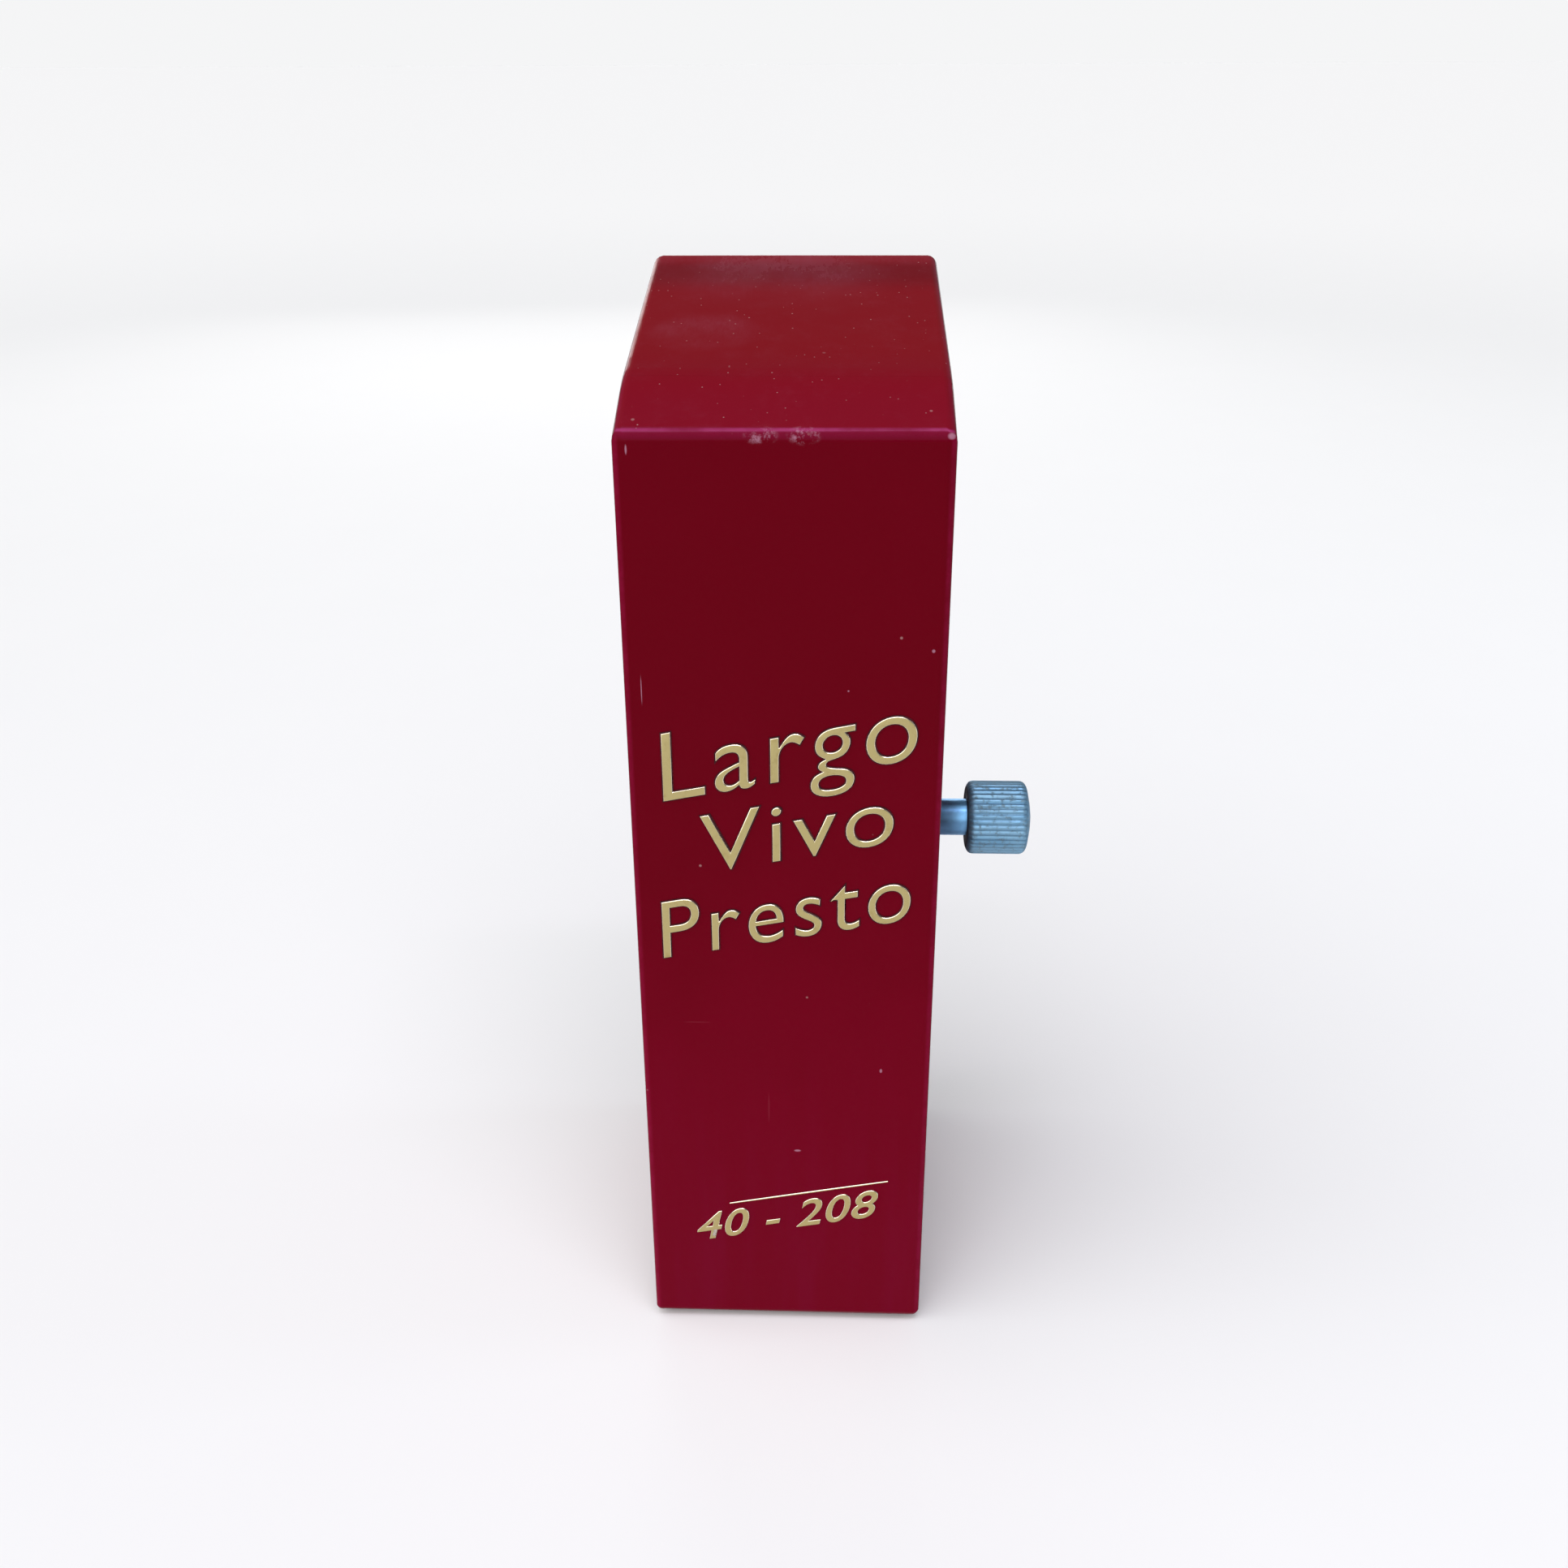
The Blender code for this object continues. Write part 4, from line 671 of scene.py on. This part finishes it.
def build_shell(node, name, finish, body, seam_y, shift):
    """A case half with clean normals, its seam face brought up to a hairline from the other's."""
    work = bmesh.new()
    work.from_mesh(NODES[node].data)
    bmesh.ops.remove_doubles(work, verts=work.verts, dist=WELD)
    bmesh.ops.dissolve_degenerate(work, edges=work.edges, dist=SLIVER)
    for vertex in work.verts:
        if abs(vertex.co.y - seam_y) < ON_FACE:
            vertex.co.y += shift
            if vertex.co.z > LID_HIGH.z - TOP_REACH:
                vertex.co.z += shift * TOP_SLOPE

    def on_side_seam(vertex):
        x, y, z = vertex.co
        on_side = abs(x) > LID_HIGH.x - ON_FACE and z < LID_HIGH.z - SEAM_FADE
        return on_side and abs(y - seam_y - shift) < ON_FACE

    side_edges = [edge for edge in work.edges if all(map(on_side_seam, edge.verts))]
    bmesh.ops.bevel(work, geom=side_edges, offset=SEAM_GROOVE / 2, segments=2, affect="EDGES")
    shell = new_piece(name, mesh_from(work, name, SHARP), finish, body, [node])
    even = shell.modifiers.new("even_normals", "WEIGHTED_NORMAL")
    even.keep_sharp = True


def build_case(finish):
    """The lid and the body, which share what was the gap between them but for a hairline."""
    gap = BODY_LOW.y - LID_HIGH.y
    shift = gap / 2 - SEAM_HAIRLINE / 2
    build_shell("lid", "lid_shell", finish, "lid", LID_HIGH.y, shift)
    build_shell("case_body", "case_shell", finish, "case", BODY_LOW.y, -shift)


def paint(finish, *nodes, bevel=0.05):
    """Gives CAD nodes a finish and eased edges, of a width in mm."""
    for node in nodes:
        obj = smooth_node(node, bevel=bevel)
        obj.data.materials.clear()
        obj.data.materials.append(finish)
        obj.material_slots[0].link = "DATA"


# ---------------------------------------------------------------- knob and stem


def build_knob(finish):
    """The winding knob: rounded flutes that run out in a domed end, and a bored inner face."""
    steps = FLUTES * STEPS_PER_FLUTE
    outer = KNOB_RADIUS
    x0, x1 = KNOB_LOW.x, KNOB_HIGH.x
    # (x, radius, share of the flutes' depth)
    profile = [
        (x0 + KNOB_BORE, 2.30 * MM, 0.0),
        (x0 + 0.08 * MM, 2.30 * MM, 0.0),
        (x0 + 0.04 * MM, 2.36 * MM, 0.0),
        (x0, outer - 1.05 * MM, 0.0),
        (x0 + 0.04 * MM, outer - 0.75 * MM, 0.0),
        (x0 + 0.18 * MM, outer - 0.42 * MM, 0.2),
        (x0 + 0.36 * MM, outer - 0.18 * MM, 0.7),
        (x0 + 0.60 * MM, outer - 0.04 * MM, 1.0),
        (x0 + 0.9 * MM, outer, 1.0),
    ]
    for share in (0.25, 0.4, 0.55, 0.7):
        profile.append((x0 + share * (x1 - x0), outer, 1.0))
    flat_end = outer - KNOB_ROUND
    for i in range(8):
        angle = math.pi / 2 * i / 7
        x = x1 - KNOB_DOME - KNOB_ROUND_LONG * (1 - math.sin(angle))
        cut = max(0.0, 1.0 - (i / 5.6) ** 2)  # the flutes run out before the end
        profile.append((x, flat_end + KNOB_ROUND * math.cos(angle), cut))
    for share in (0.85, 0.65, 0.4, 0.2):
        profile.append((x1 - KNOB_DOME * share**2, flat_end * share, 0.0))
    work = bmesh.new()
    rings = []
    for x, radius, cut in profile:
        ring = []
        for i in range(steps):
            angle = math.tau * i / steps
            turn = math.tau * (i % STEPS_PER_FLUTE) / STEPS_PER_FLUTE
            groove = (0.5 - 0.5 * math.cos(turn)) ** 1.6
            local = radius - FLUTE_DEPTH * cut * groove
            y, z = ARBOR_Y + local * math.cos(angle), ARBOR_Z + local * math.sin(angle)
            ring.append(work.verts.new((x, y, z)))
        rings.append(ring)
    for first, second in zip(rings, rings[1:]):
        for i in range(steps):
            j = (i + 1) % steps
            work.faces.new((first[i], second[i], second[j], first[j]))
    for ring, x in ((rings[0], x0 + KNOB_BORE), (rings[-1], x1)):
        middle = work.verts.new((x, ARBOR_Y, ARBOR_Z))
        for i in range(steps):
            work.faces.new((ring[i], ring[(i + 1) % steps], middle))
    mesh = mesh_from(work, "winding_knob", 55)
    new_piece("winding_knob", mesh, finish, "winding", ["knob"])


def build_stem(finish):
    """The arbor inside the movement and the stem that carries the knob, its shoulders eased."""
    x0 = ARBOR_LOW.x / MM
    x1 = (KNOB_LOW.x + KNOB_BORE) / MM - 0.05
    # (x in mm, radius in mm), left end to right
    turned = [
        (x0, 0.0), (x0, 0.8), (x0 + 0.1, 0.9), (-9.1, 0.9), (-9.1, 1.42),
        (-9.0, 1.5), (-3.9, 1.5), (-3.9, 2.12), (-3.8, 2.2), (4.8, 2.2), (4.9, 2.12), (4.9, 1.5),
        (12.5, 1.5), (12.5, 2.1), (12.65, 2.25), (16.9, 2.25), (17.0, 2.18), (17.25, 2.18),
        (17.35, 2.25), (x1 - 0.05, 2.25), (x1, 2.2), (x1, 0.0),
    ]
    profile = [(x * MM, radius * MM) for x, radius in turned]
    mesh = mesh_from(lathe(profile, (ARBOR_Y, ARBOR_Z), STEM_STEPS), "winding_stem", 40)
    new_piece("winding_stem", mesh, finish, "winding", ["winding_arbor"])


# ---------------------------------------------------------------- lettering


def words_mesh(words, cap, width, depth, slant=0.0, spacing=1.0, weight=0.0, bevel=0.0):
    """Words as a mesh in the XZ plane facing -Y, in Blender's own font, on a baseline at z = 0.

    cap is the height of a capital, and width the whole length that the letters are fitted to (or
    0 for the font's own). depth is their thickness and bevel the width of their eased edges.
    """
    capital = font_mesh("H")
    tall = cap / max(vertex.co.y for vertex in capital.vertices)
    mesh = font_mesh(words, slant, spacing, weight - bevel / tall, depth / 2 / tall, bevel / tall)
    low = min(vertex.co.x for vertex in mesh.vertices)
    high = max(vertex.co.x for vertex in mesh.vertices)
    wide = width / (high - low) if width else tall
    for vertex in mesh.vertices:
        x, y, z = vertex.co
        vertex.co = ((x - (low + high) / 2) * wide, -z * tall, y * tall)
    return mesh


def font_mesh(words, slant=0.0, spacing=1.0, weight=0.0, half_depth=0.0, bevel=0.0):
    """Words in Blender's own font at size 1, as a mesh, where weight widens the strokes."""
    curve = bpy.data.curves.new("words", "FONT")
    curve.body = words
    curve.size = 1.0
    curve.space_character = spacing
    curve.shear = slant
    curve.offset = weight
    curve.resolution_u = 8
    curve.extrude = max(0.0, half_depth - bevel)
    curve.bevel_depth = bevel
    curve.bevel_resolution = 2
    obj = bpy.data.objects.new("words", curve)
    bpy.context.scene.collection.objects.link(obj)
    bpy.context.view_layer.update()
    graph = bpy.context.evaluated_depsgraph_get()
    evaluated = bpy.data.meshes.new_from_object(obj.evaluated_get(graph))
    bpy.data.objects.remove(obj)
    work = bmesh.new()
    work.from_mesh(evaluated)
    bmesh.ops.remove_doubles(work, verts=work.verts, dist=0.0001)
    return mesh_from(work, "words", 50)


def put_on_lid(mesh, middle_x, baseline_z, proud=PRINT_PROUD):
    """Sets lettering on the lid's front, each upright stroke left upright as its line climbs."""
    climb = math.tan(math.radians(LINE_RISE))
    front = LID_LOW.y - proud + PRINT_T / 2
    for vertex in mesh.vertices:
        x, y, z = vertex.co
        vertex.co = (middle_x + x, front + y, baseline_z + z + (middle_x + x) * climb)


def build_lettering(finish, shadow_rim_finish):
    """Three tempo words in raised gold, each letter with a dark rim round it that is a painted
    shadow.
    """
    for index, (words, x, z, cap, width) in enumerate(LINES, 1):
        mesh = words_mesh(
            words, cap * MM, width * MM, PRINT_T,
            spacing=PRINT_SPACING, weight=PRINT_WEIGHT, bevel=PRINT_EDGE,
        )
        put_on_lid(mesh, x * MM, z * MM)
        new_piece(f"tempo_word_{index}", mesh, finish, "lid")
        # The rim is a dark sheet round each letter, a painted shadow along its edge
        rim = words_mesh(
            words, cap * MM, (width + 2 * RIM) * MM, PRINT_T,
            spacing=PRINT_SPACING, weight=PRINT_WEIGHT + RIM / cap * 0.7,
        )
        put_on_lid(rim, x * MM, z * MM, RIM_PROUD)
        new_piece(f"tempo_word_{index}_rim", rim, shadow_rim_finish, "lid")


def build_range_mark(finish):
    """A tempo range in small figures, with a thin bar over it that climbs with the lines."""
    figures = words_mesh(
        f"{TEMPOS[-1]} - {TEMPOS[0]}", RANGE_CAP, RANGE_LENGTH, PRINT_T,
        slant=0.2, spacing=1.05, weight=0.014, bevel=0.10 * MM,
    )
    put_on_lid(figures, 0.0, RANGE_Z)
    new_piece("tempo_range", figures, finish, "lid")
    work = bmesh.new()
    rings = []
    for i in range(BAR_STEPS + 1):
        share = i / BAR_STEPS
        half = BAR_HALF * (0.4 + 0.6 * math.sin(math.pi * (0.08 + 0.84 * share)) ** 0.5)
        ring = []
        for k in range(BAR_SIDES):
            angle = math.tau * k / BAR_SIDES
            y, z = -BAR_PROUD * math.sin(angle), half * math.cos(angle)
            ring.append(work.verts.new((BAR_LENGTH * (share - 0.5), y, z)))
        rings.append(ring)
    for first, second in zip(rings, rings[1:]):
        for k in range(BAR_SIDES):
            n = (k + 1) % BAR_SIDES
            work.faces.new((first[k], first[n], second[n], second[k]))
    work.faces.new(rings[0])
    work.faces.new(rings[-1][::-1])
    bar = mesh_from(work, "tempo_bar", 45)
    climb = math.tan(math.radians(LINE_RISE))
    for vertex in bar.vertices:
        vertex.co.x += BAR_X
        vertex.co.y += LID_LOW.y - BAR_SUNK
        vertex.co.z += BAR_Z + vertex.co.x * climb
    new_piece("tempo_bar", bar, finish, "lid")


# ---------------------------------------------------------------- scale markings


def tempo_height(tempo):
    """Where the weight's top stands for a tempo: slower is higher."""
    fastest, slowest = TEMPOS[0], TEMPOS[-1]
    share = math.log(fastest / tempo) / math.log(fastest / slowest)
    bottom = WEIGHT_HIGH.z - 4.6 * MM
    top = SCALE_HIGH.z - 3.6 * MM
    return bottom + share * (top - bottom)


def build_scale_marks(finish):
    """Tempo lines and figures, alternately to the right and the left."""
    face = SCALE_LOW.y
    work = bmesh.new()
    for index, tempo in enumerate(TEMPOS):
        side = -1 if index % 2 else 1
        z = tempo_height(tempo)
        add_bar(work, side * LINE_IN, side * LONG_LINE_OUT, face, z, LONG_LINE_T)
        add_bar(work, -side * LINE_IN, -side * SHORT_LINE_OUT, face, z, SHORT_LINE_T)
    marks = mesh_from(work, "scale_lines", 30)
    new_piece("scale_lines", marks, finish, "case")
    for index, tempo in enumerate(TEMPOS):
        side = -1 if index % 2 else 1
        mesh = words_mesh(str(tempo), FIGURE_CAP, 0.0, 0.05 * MM, weight=0.004)
        baseline = tempo_height(tempo) - FIGURE_CAP / 2
        mesh.transform(Matrix.Translation((side * FIGURE_X, face - 0.012 * MM, baseline)))
        mesh.name = f"scale_figure_{tempo}"
        new_piece(mesh.name, mesh, finish, "case")


def add_bar(work, x0, x1, face, z, thick):
    """A thin printed line between two x, standing a little off the plate's face."""
    low = Vector((min(x0, x1), face - 0.035 * MM, z - thick / 2))
    high = Vector((max(x0, x1), face + 0.03 * MM, z + thick / 2))
    size = high - low
    spot = Matrix.Translation((low + high) / 2) @ Matrix.Diagonal((*size, 1.0))
    made = bmesh.ops.create_cube(work, size=1.0, matrix=spot)
    edges = {edge for vertex in made["verts"] for edge in vertex.link_edges}
    bmesh.ops.bevel(work, geom=list(edges), offset=0.012 * MM, segments=1, affect="EDGES")


def build_rod(finish):
    """The pendulum rod, with a notch in its right edge for each tempo and a chamfered tip."""
    half = (ROD_HIGH.x - ROD_LOW.x) / 2
    chamfer = ROD_CHAMFER
    top = ROD_HIGH.z
    outline = [(-half, ROD_LOW.z + chamfer / 2), (-half + chamfer / 2, ROD_LOW.z)]
    outline += [(half - chamfer / 2, ROD_LOW.z), (half, ROD_LOW.z + chamfer / 2)]
    for tempo in TEMPOS:
        z = tempo_height(tempo)
        outline += [(half, z - 0.34 * MM), (half - NOTCH, z - 0.04 * MM)]
        outline += [(half - NOTCH, z + 0.04 * MM), (half, z + 0.1 * MM)]
    outline += [(half, top - ROD_TIP), (half - chamfer, top)]
    outline += [(chamfer - half, top), (-half, top - ROD_TIP)]
    work = bmesh.new()
    front = [work.verts.new((x, ROD_LOW.y, z)) for x, z in outline]
    back = [work.verts.new((x, ROD_HIGH.y, z)) for x, z in outline]
    work.faces.new(front)
    work.faces.new(back[::-1])
    for i in range(len(outline)):
        j = (i + 1) % len(outline)
        work.faces.new((front[i], back[i], back[j], front[j]))
    long_edges = [edge for edge in work.edges if edge.verts[0].co.y == edge.verts[1].co.y]
    bmesh.ops.bevel(work, geom=long_edges, offset=0.05 * MM, segments=2, affect="EDGES")
    mesh = mesh_from(work, "notched_rod", 35)
    new_piece("notched_rod", mesh, finish, "pendulum", ["pendulum_rod"])


# ---------------------------------------------------------------- felt pad


def build_felt(finish):
    """The felt under the case: a soft-edged pad whose faces dip and swell a little."""
    half_x = (PAD_HIGH.x - PAD_LOW.x) / 2
    half_y = (PAD_HIGH.y - PAD_LOW.y) / 2
    middle = (PAD_LOW + PAD_HIGH) / 2
    thick = PAD_HIGH.z - PAD_LOW.z
    random.seed(FELT_SEED)
    work = bmesh.new()
    columns, rows = FELT_COLUMNS, FELT_ROWS

    def spot(u, v):
        """A point of the rounded rectangle, from a square grid of -1..1."""
        x, y = u * half_x, v * half_y
        inner_x, inner_y = half_x - FELT_CORNER, half_y - FELT_CORNER
        over_x, over_y = abs(x) - inner_x, abs(y) - inner_y
        if over_x > 0 and over_y > 0:
            reach = max(over_x, over_y) / max(1e-9, math.hypot(over_x, over_y))
            x = math.copysign(inner_x + over_x * reach, x)
            y = math.copysign(inner_y + over_y * reach, y)
        return x, y

    sheets = []
    for side in (-1, 1):
        grid = []
        for j in range(rows + 1):
            line = []
            for i in range(columns + 1):
                u, v = 2 * i / columns - 1, 2 * j / rows - 1
                x, y = spot(u, v)
                rim = max(abs(u), abs(v))
                closing = max(0.0, (rim - FELT_RIM) / (1 - FELT_RIM)) ** 2
                swell = thick / 2 * (1 - FELT_PINCH * closing)
                swell -= FELT_ROUGH * random.random()
                line.append(work.verts.new((middle.x + x, middle.y + y, middle.z + side * swell)))
            grid.append(line)
        sheets.append(grid)
    for grid, flip in ((sheets[0], True), (sheets[1], False)):
        for j in range(rows):
            for i in range(columns):
                ring = (grid[j][i], grid[j][i + 1], grid[j + 1][i + 1], grid[j + 1][i])
                work.faces.new(ring[::-1] if flip else ring)
    path = [(i, 0) for i in range(columns)] + [(columns, j) for j in range(rows)]
    path += [(i, rows) for i in range(columns, 0, -1)] + [(0, j) for j in range(rows, 0, -1)]
    low, high = sheets
    for (i, j), (k, m) in zip(path, path[1:] + path[:1]):
        work.faces.new((low[j][i], low[m][k], high[m][k], high[j][i]))
    mesh = mesh_from(work, "felt_pad", 80)
    pad = new_piece("felt_pad", mesh, finish, "case", ["base_pad"])


# ---------------------------------------------------------------- studio


def build_studio():
    """A pale floor, a broad soft sun, three soft lamps for the edges, and the camera."""
    bpy.context.scene.view_settings.view_transform = "Standard"
    bpy.ops.mesh.primitive_grid_add(x_subdivisions=2, y_subdivisions=2, size=FLOOR_SIZE)
    floor = bpy.context.active_object
    floor.name = "floor"
    pale = Finish("floor", specular=0.0)
    near = pale.blend(pale.noise(30.0, 2.0), *FLOOR_PALES)
    away = pale.steps(pale.length(pale.coords), *FLOOR_FADE)
    floor.data.materials.append(pale.finish(pale.blend(away, near, FLOOR_FAR), 0.9))
    build_world()

    sun = bpy.data.lights.new("soft_sun", "SUN")
    sun.angle = math.radians(SUN_WIDTH)
    sun.energy = SUN_POWER
    aimed("soft_sun", sun, SUN_FROM, Vector((0, 0, 0)))
    for lamp in LAMPS:
        build_lamp(*lamp)

    camera = bpy.data.objects.new("camera", bpy.data.cameras.new("camera"))
    bpy.context.scene.collection.objects.link(camera)
    camera.data.lens = LENS
    camera.data.sensor_width = SENSOR
    camera.data.clip_start = 0.01
    camera.location = CAMERA_AT
    camera.rotation_euler = Euler(math.radians(a) for a in CAMERA_TURN)
    bpy.context.scene.camera = camera


def build_world():
    """White where it is seen behind the object, and dim as a light, so that the lamps shape it."""
    world = bpy.data.worlds.new("studio")
    bpy.context.scene.world = world
    world.use_nodes = True
    tree = world.node_tree
    sky = tree.nodes["Background"]
    sky.inputs["Color"].default_value = (*SKY, 1.0)
    sky.inputs["Strength"].default_value = SKY_STRENGTH
    backdrop = tree.nodes.new("ShaderNodeBackground")
    backdrop.inputs["Color"].default_value = (*BACKDROP, 1.0)
    seen = tree.nodes.new("ShaderNodeLightPath")
    choice = tree.nodes.new("ShaderNodeMixShader")
    tree.links.new(seen.outputs["Is Camera Ray"], choice.inputs[0])
    tree.links.new(sky.outputs[0], choice.inputs[1])
    tree.links.new(backdrop.outputs[0], choice.inputs[2])
    tree.links.new(choice.outputs[0], tree.nodes["World Output"].inputs["Surface"])


def aimed(name, light, spot, target):
    """Puts a light in the scene, turned to a point and not seen itself."""
    obj = bpy.data.objects.new(name, light)
    bpy.context.scene.collection.objects.link(obj)
    obj.location = spot
    obj.visible_camera = False
    obj.rotation_euler = (target - Vector(spot)).to_track_quat("-Z", "Y").to_euler()


def build_lamp(name, spot, width, height, power, colour, spread):
    """A rectangular soft lamp turned to the object, its light kept within a spread in degrees."""
    light = bpy.data.lights.new(name, "AREA")
    light.shape = "RECTANGLE"
    light.size = width
    light.size_y = height
    light.energy = power
    light.color = colour
    light.spread = math.radians(spread)
    aimed(name, light, spot, LAMPS_TARGET)


# ---------------------------------------------------------------- the object


def main():
    crimson = crimson_plastic()
    gold = gold_foil()
    black = moulded_black()
    plate_brass = machined("plate_brass", BRASS_LIGHT, BRASS_DARK, 0.34, (1.0, 1.0, 0.06))
    cut_brass = machined("cut_brass", BRASS_LIGHT, BRASS_DARK, 0.30, (0.4, 1.0, 1.0))
    cut_steel = machined("cut_steel", STEEL_LIGHT, STEEL_DARK, 0.28, (1.0, 0.3, 1.0))
    drawn_steel = machined("drawn_steel", STEEL_LIGHT, STEEL_DARK, 0.25, (1.0, 1.0, 0.05))
    blued = machined("blued_steel", BLUED_LIGHT, BLUED_DARK, 0.27, (0.1, 1.0, 1.0))
    zinc = machined("cast_zinc", ZINC_LIGHT, ZINC_DARK, 0.48, scale=900.0)
    across = (0.0, ARBOR_Y, ARBOR_Z)
    turned_brass = turned_metal("turned_brass", BRASS_LIGHT, BRASS_DARK, 0.27, across)

    build_case(crimson)
    paint(black, "fascia", "base_cover", bevel=0.08)
    paint(scale_metal(), "scale_plate", bevel=0.06)
    paint(plate_brass, "plate_left", "plate_right", "front_bridge", "staff_cock", bevel=0.06)
    paint(turned_brass, "barrel_drum", "barrel_cover", "stem_bush", bevel=0.04)
    paint(cut_brass, "rod_boss", "rod_clip", "sliding_weight", bevel=0.05)
    paint(cut_brass, "scale_rivet_lower", "scale_rivet_upper", bevel=0.04)
    paint(cut_brass, "fascia_screw_left", "fascia_screw_right", bevel=0.04)
    for node in ("intermediate_wheel", "escape_wheel"):
        low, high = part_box(node)
        wheel = turned_metal(f"{node}_brass", BRASS_LIGHT, BRASS_DARK, 0.28, (low + high) / 2)
        paint(wheel, node, bevel=0.03)
    low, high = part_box("ratchet_wheel")
    ratchet = turned_metal("ratchet_steel", STEEL_LIGHT, STEEL_DARK, 0.26, (low + high) / 2)
    paint(ratchet, "ratchet_wheel", bevel=0.04)
    paint(cut_steel, "click", "click_stud", "movement_bracket", "pallet_front", "pallet_rear")
    paint(cut_steel, "intermediate_arbor", "escape_arbor", bevel=0.03)
    paint(cut_steel, "pendulum_staff", "lower_arm", bevel=0.03)
    screws = [name for name in NODES if "screw" in name and not name.startswith("fascia")]
    pillars = [name for name in NODES if name.startswith("pillar_") and "screw" not in name]
    paint(cut_steel, *screws, *pillars)
    build_rod(drawn_steel)
    paint(blued, "mainspring", "click_spring", "weight_spring", bevel=0)
    paint(zinc, "counterweight", bevel=0.1)

    build_knob(ribbed_aluminium())
    # Its blue tint is a painted reflection of a blue sky
    stem_steel = turned_metal("stem_steel", STEM_LIGHT, STEM_DARK, 0.34, across)
    build_stem(stem_steel)
    build_lettering(gold, pressed_plastic())
    build_range_mark(gold)
    build_scale_marks(ink())
    build_felt(felt())
    build_studio()


main()
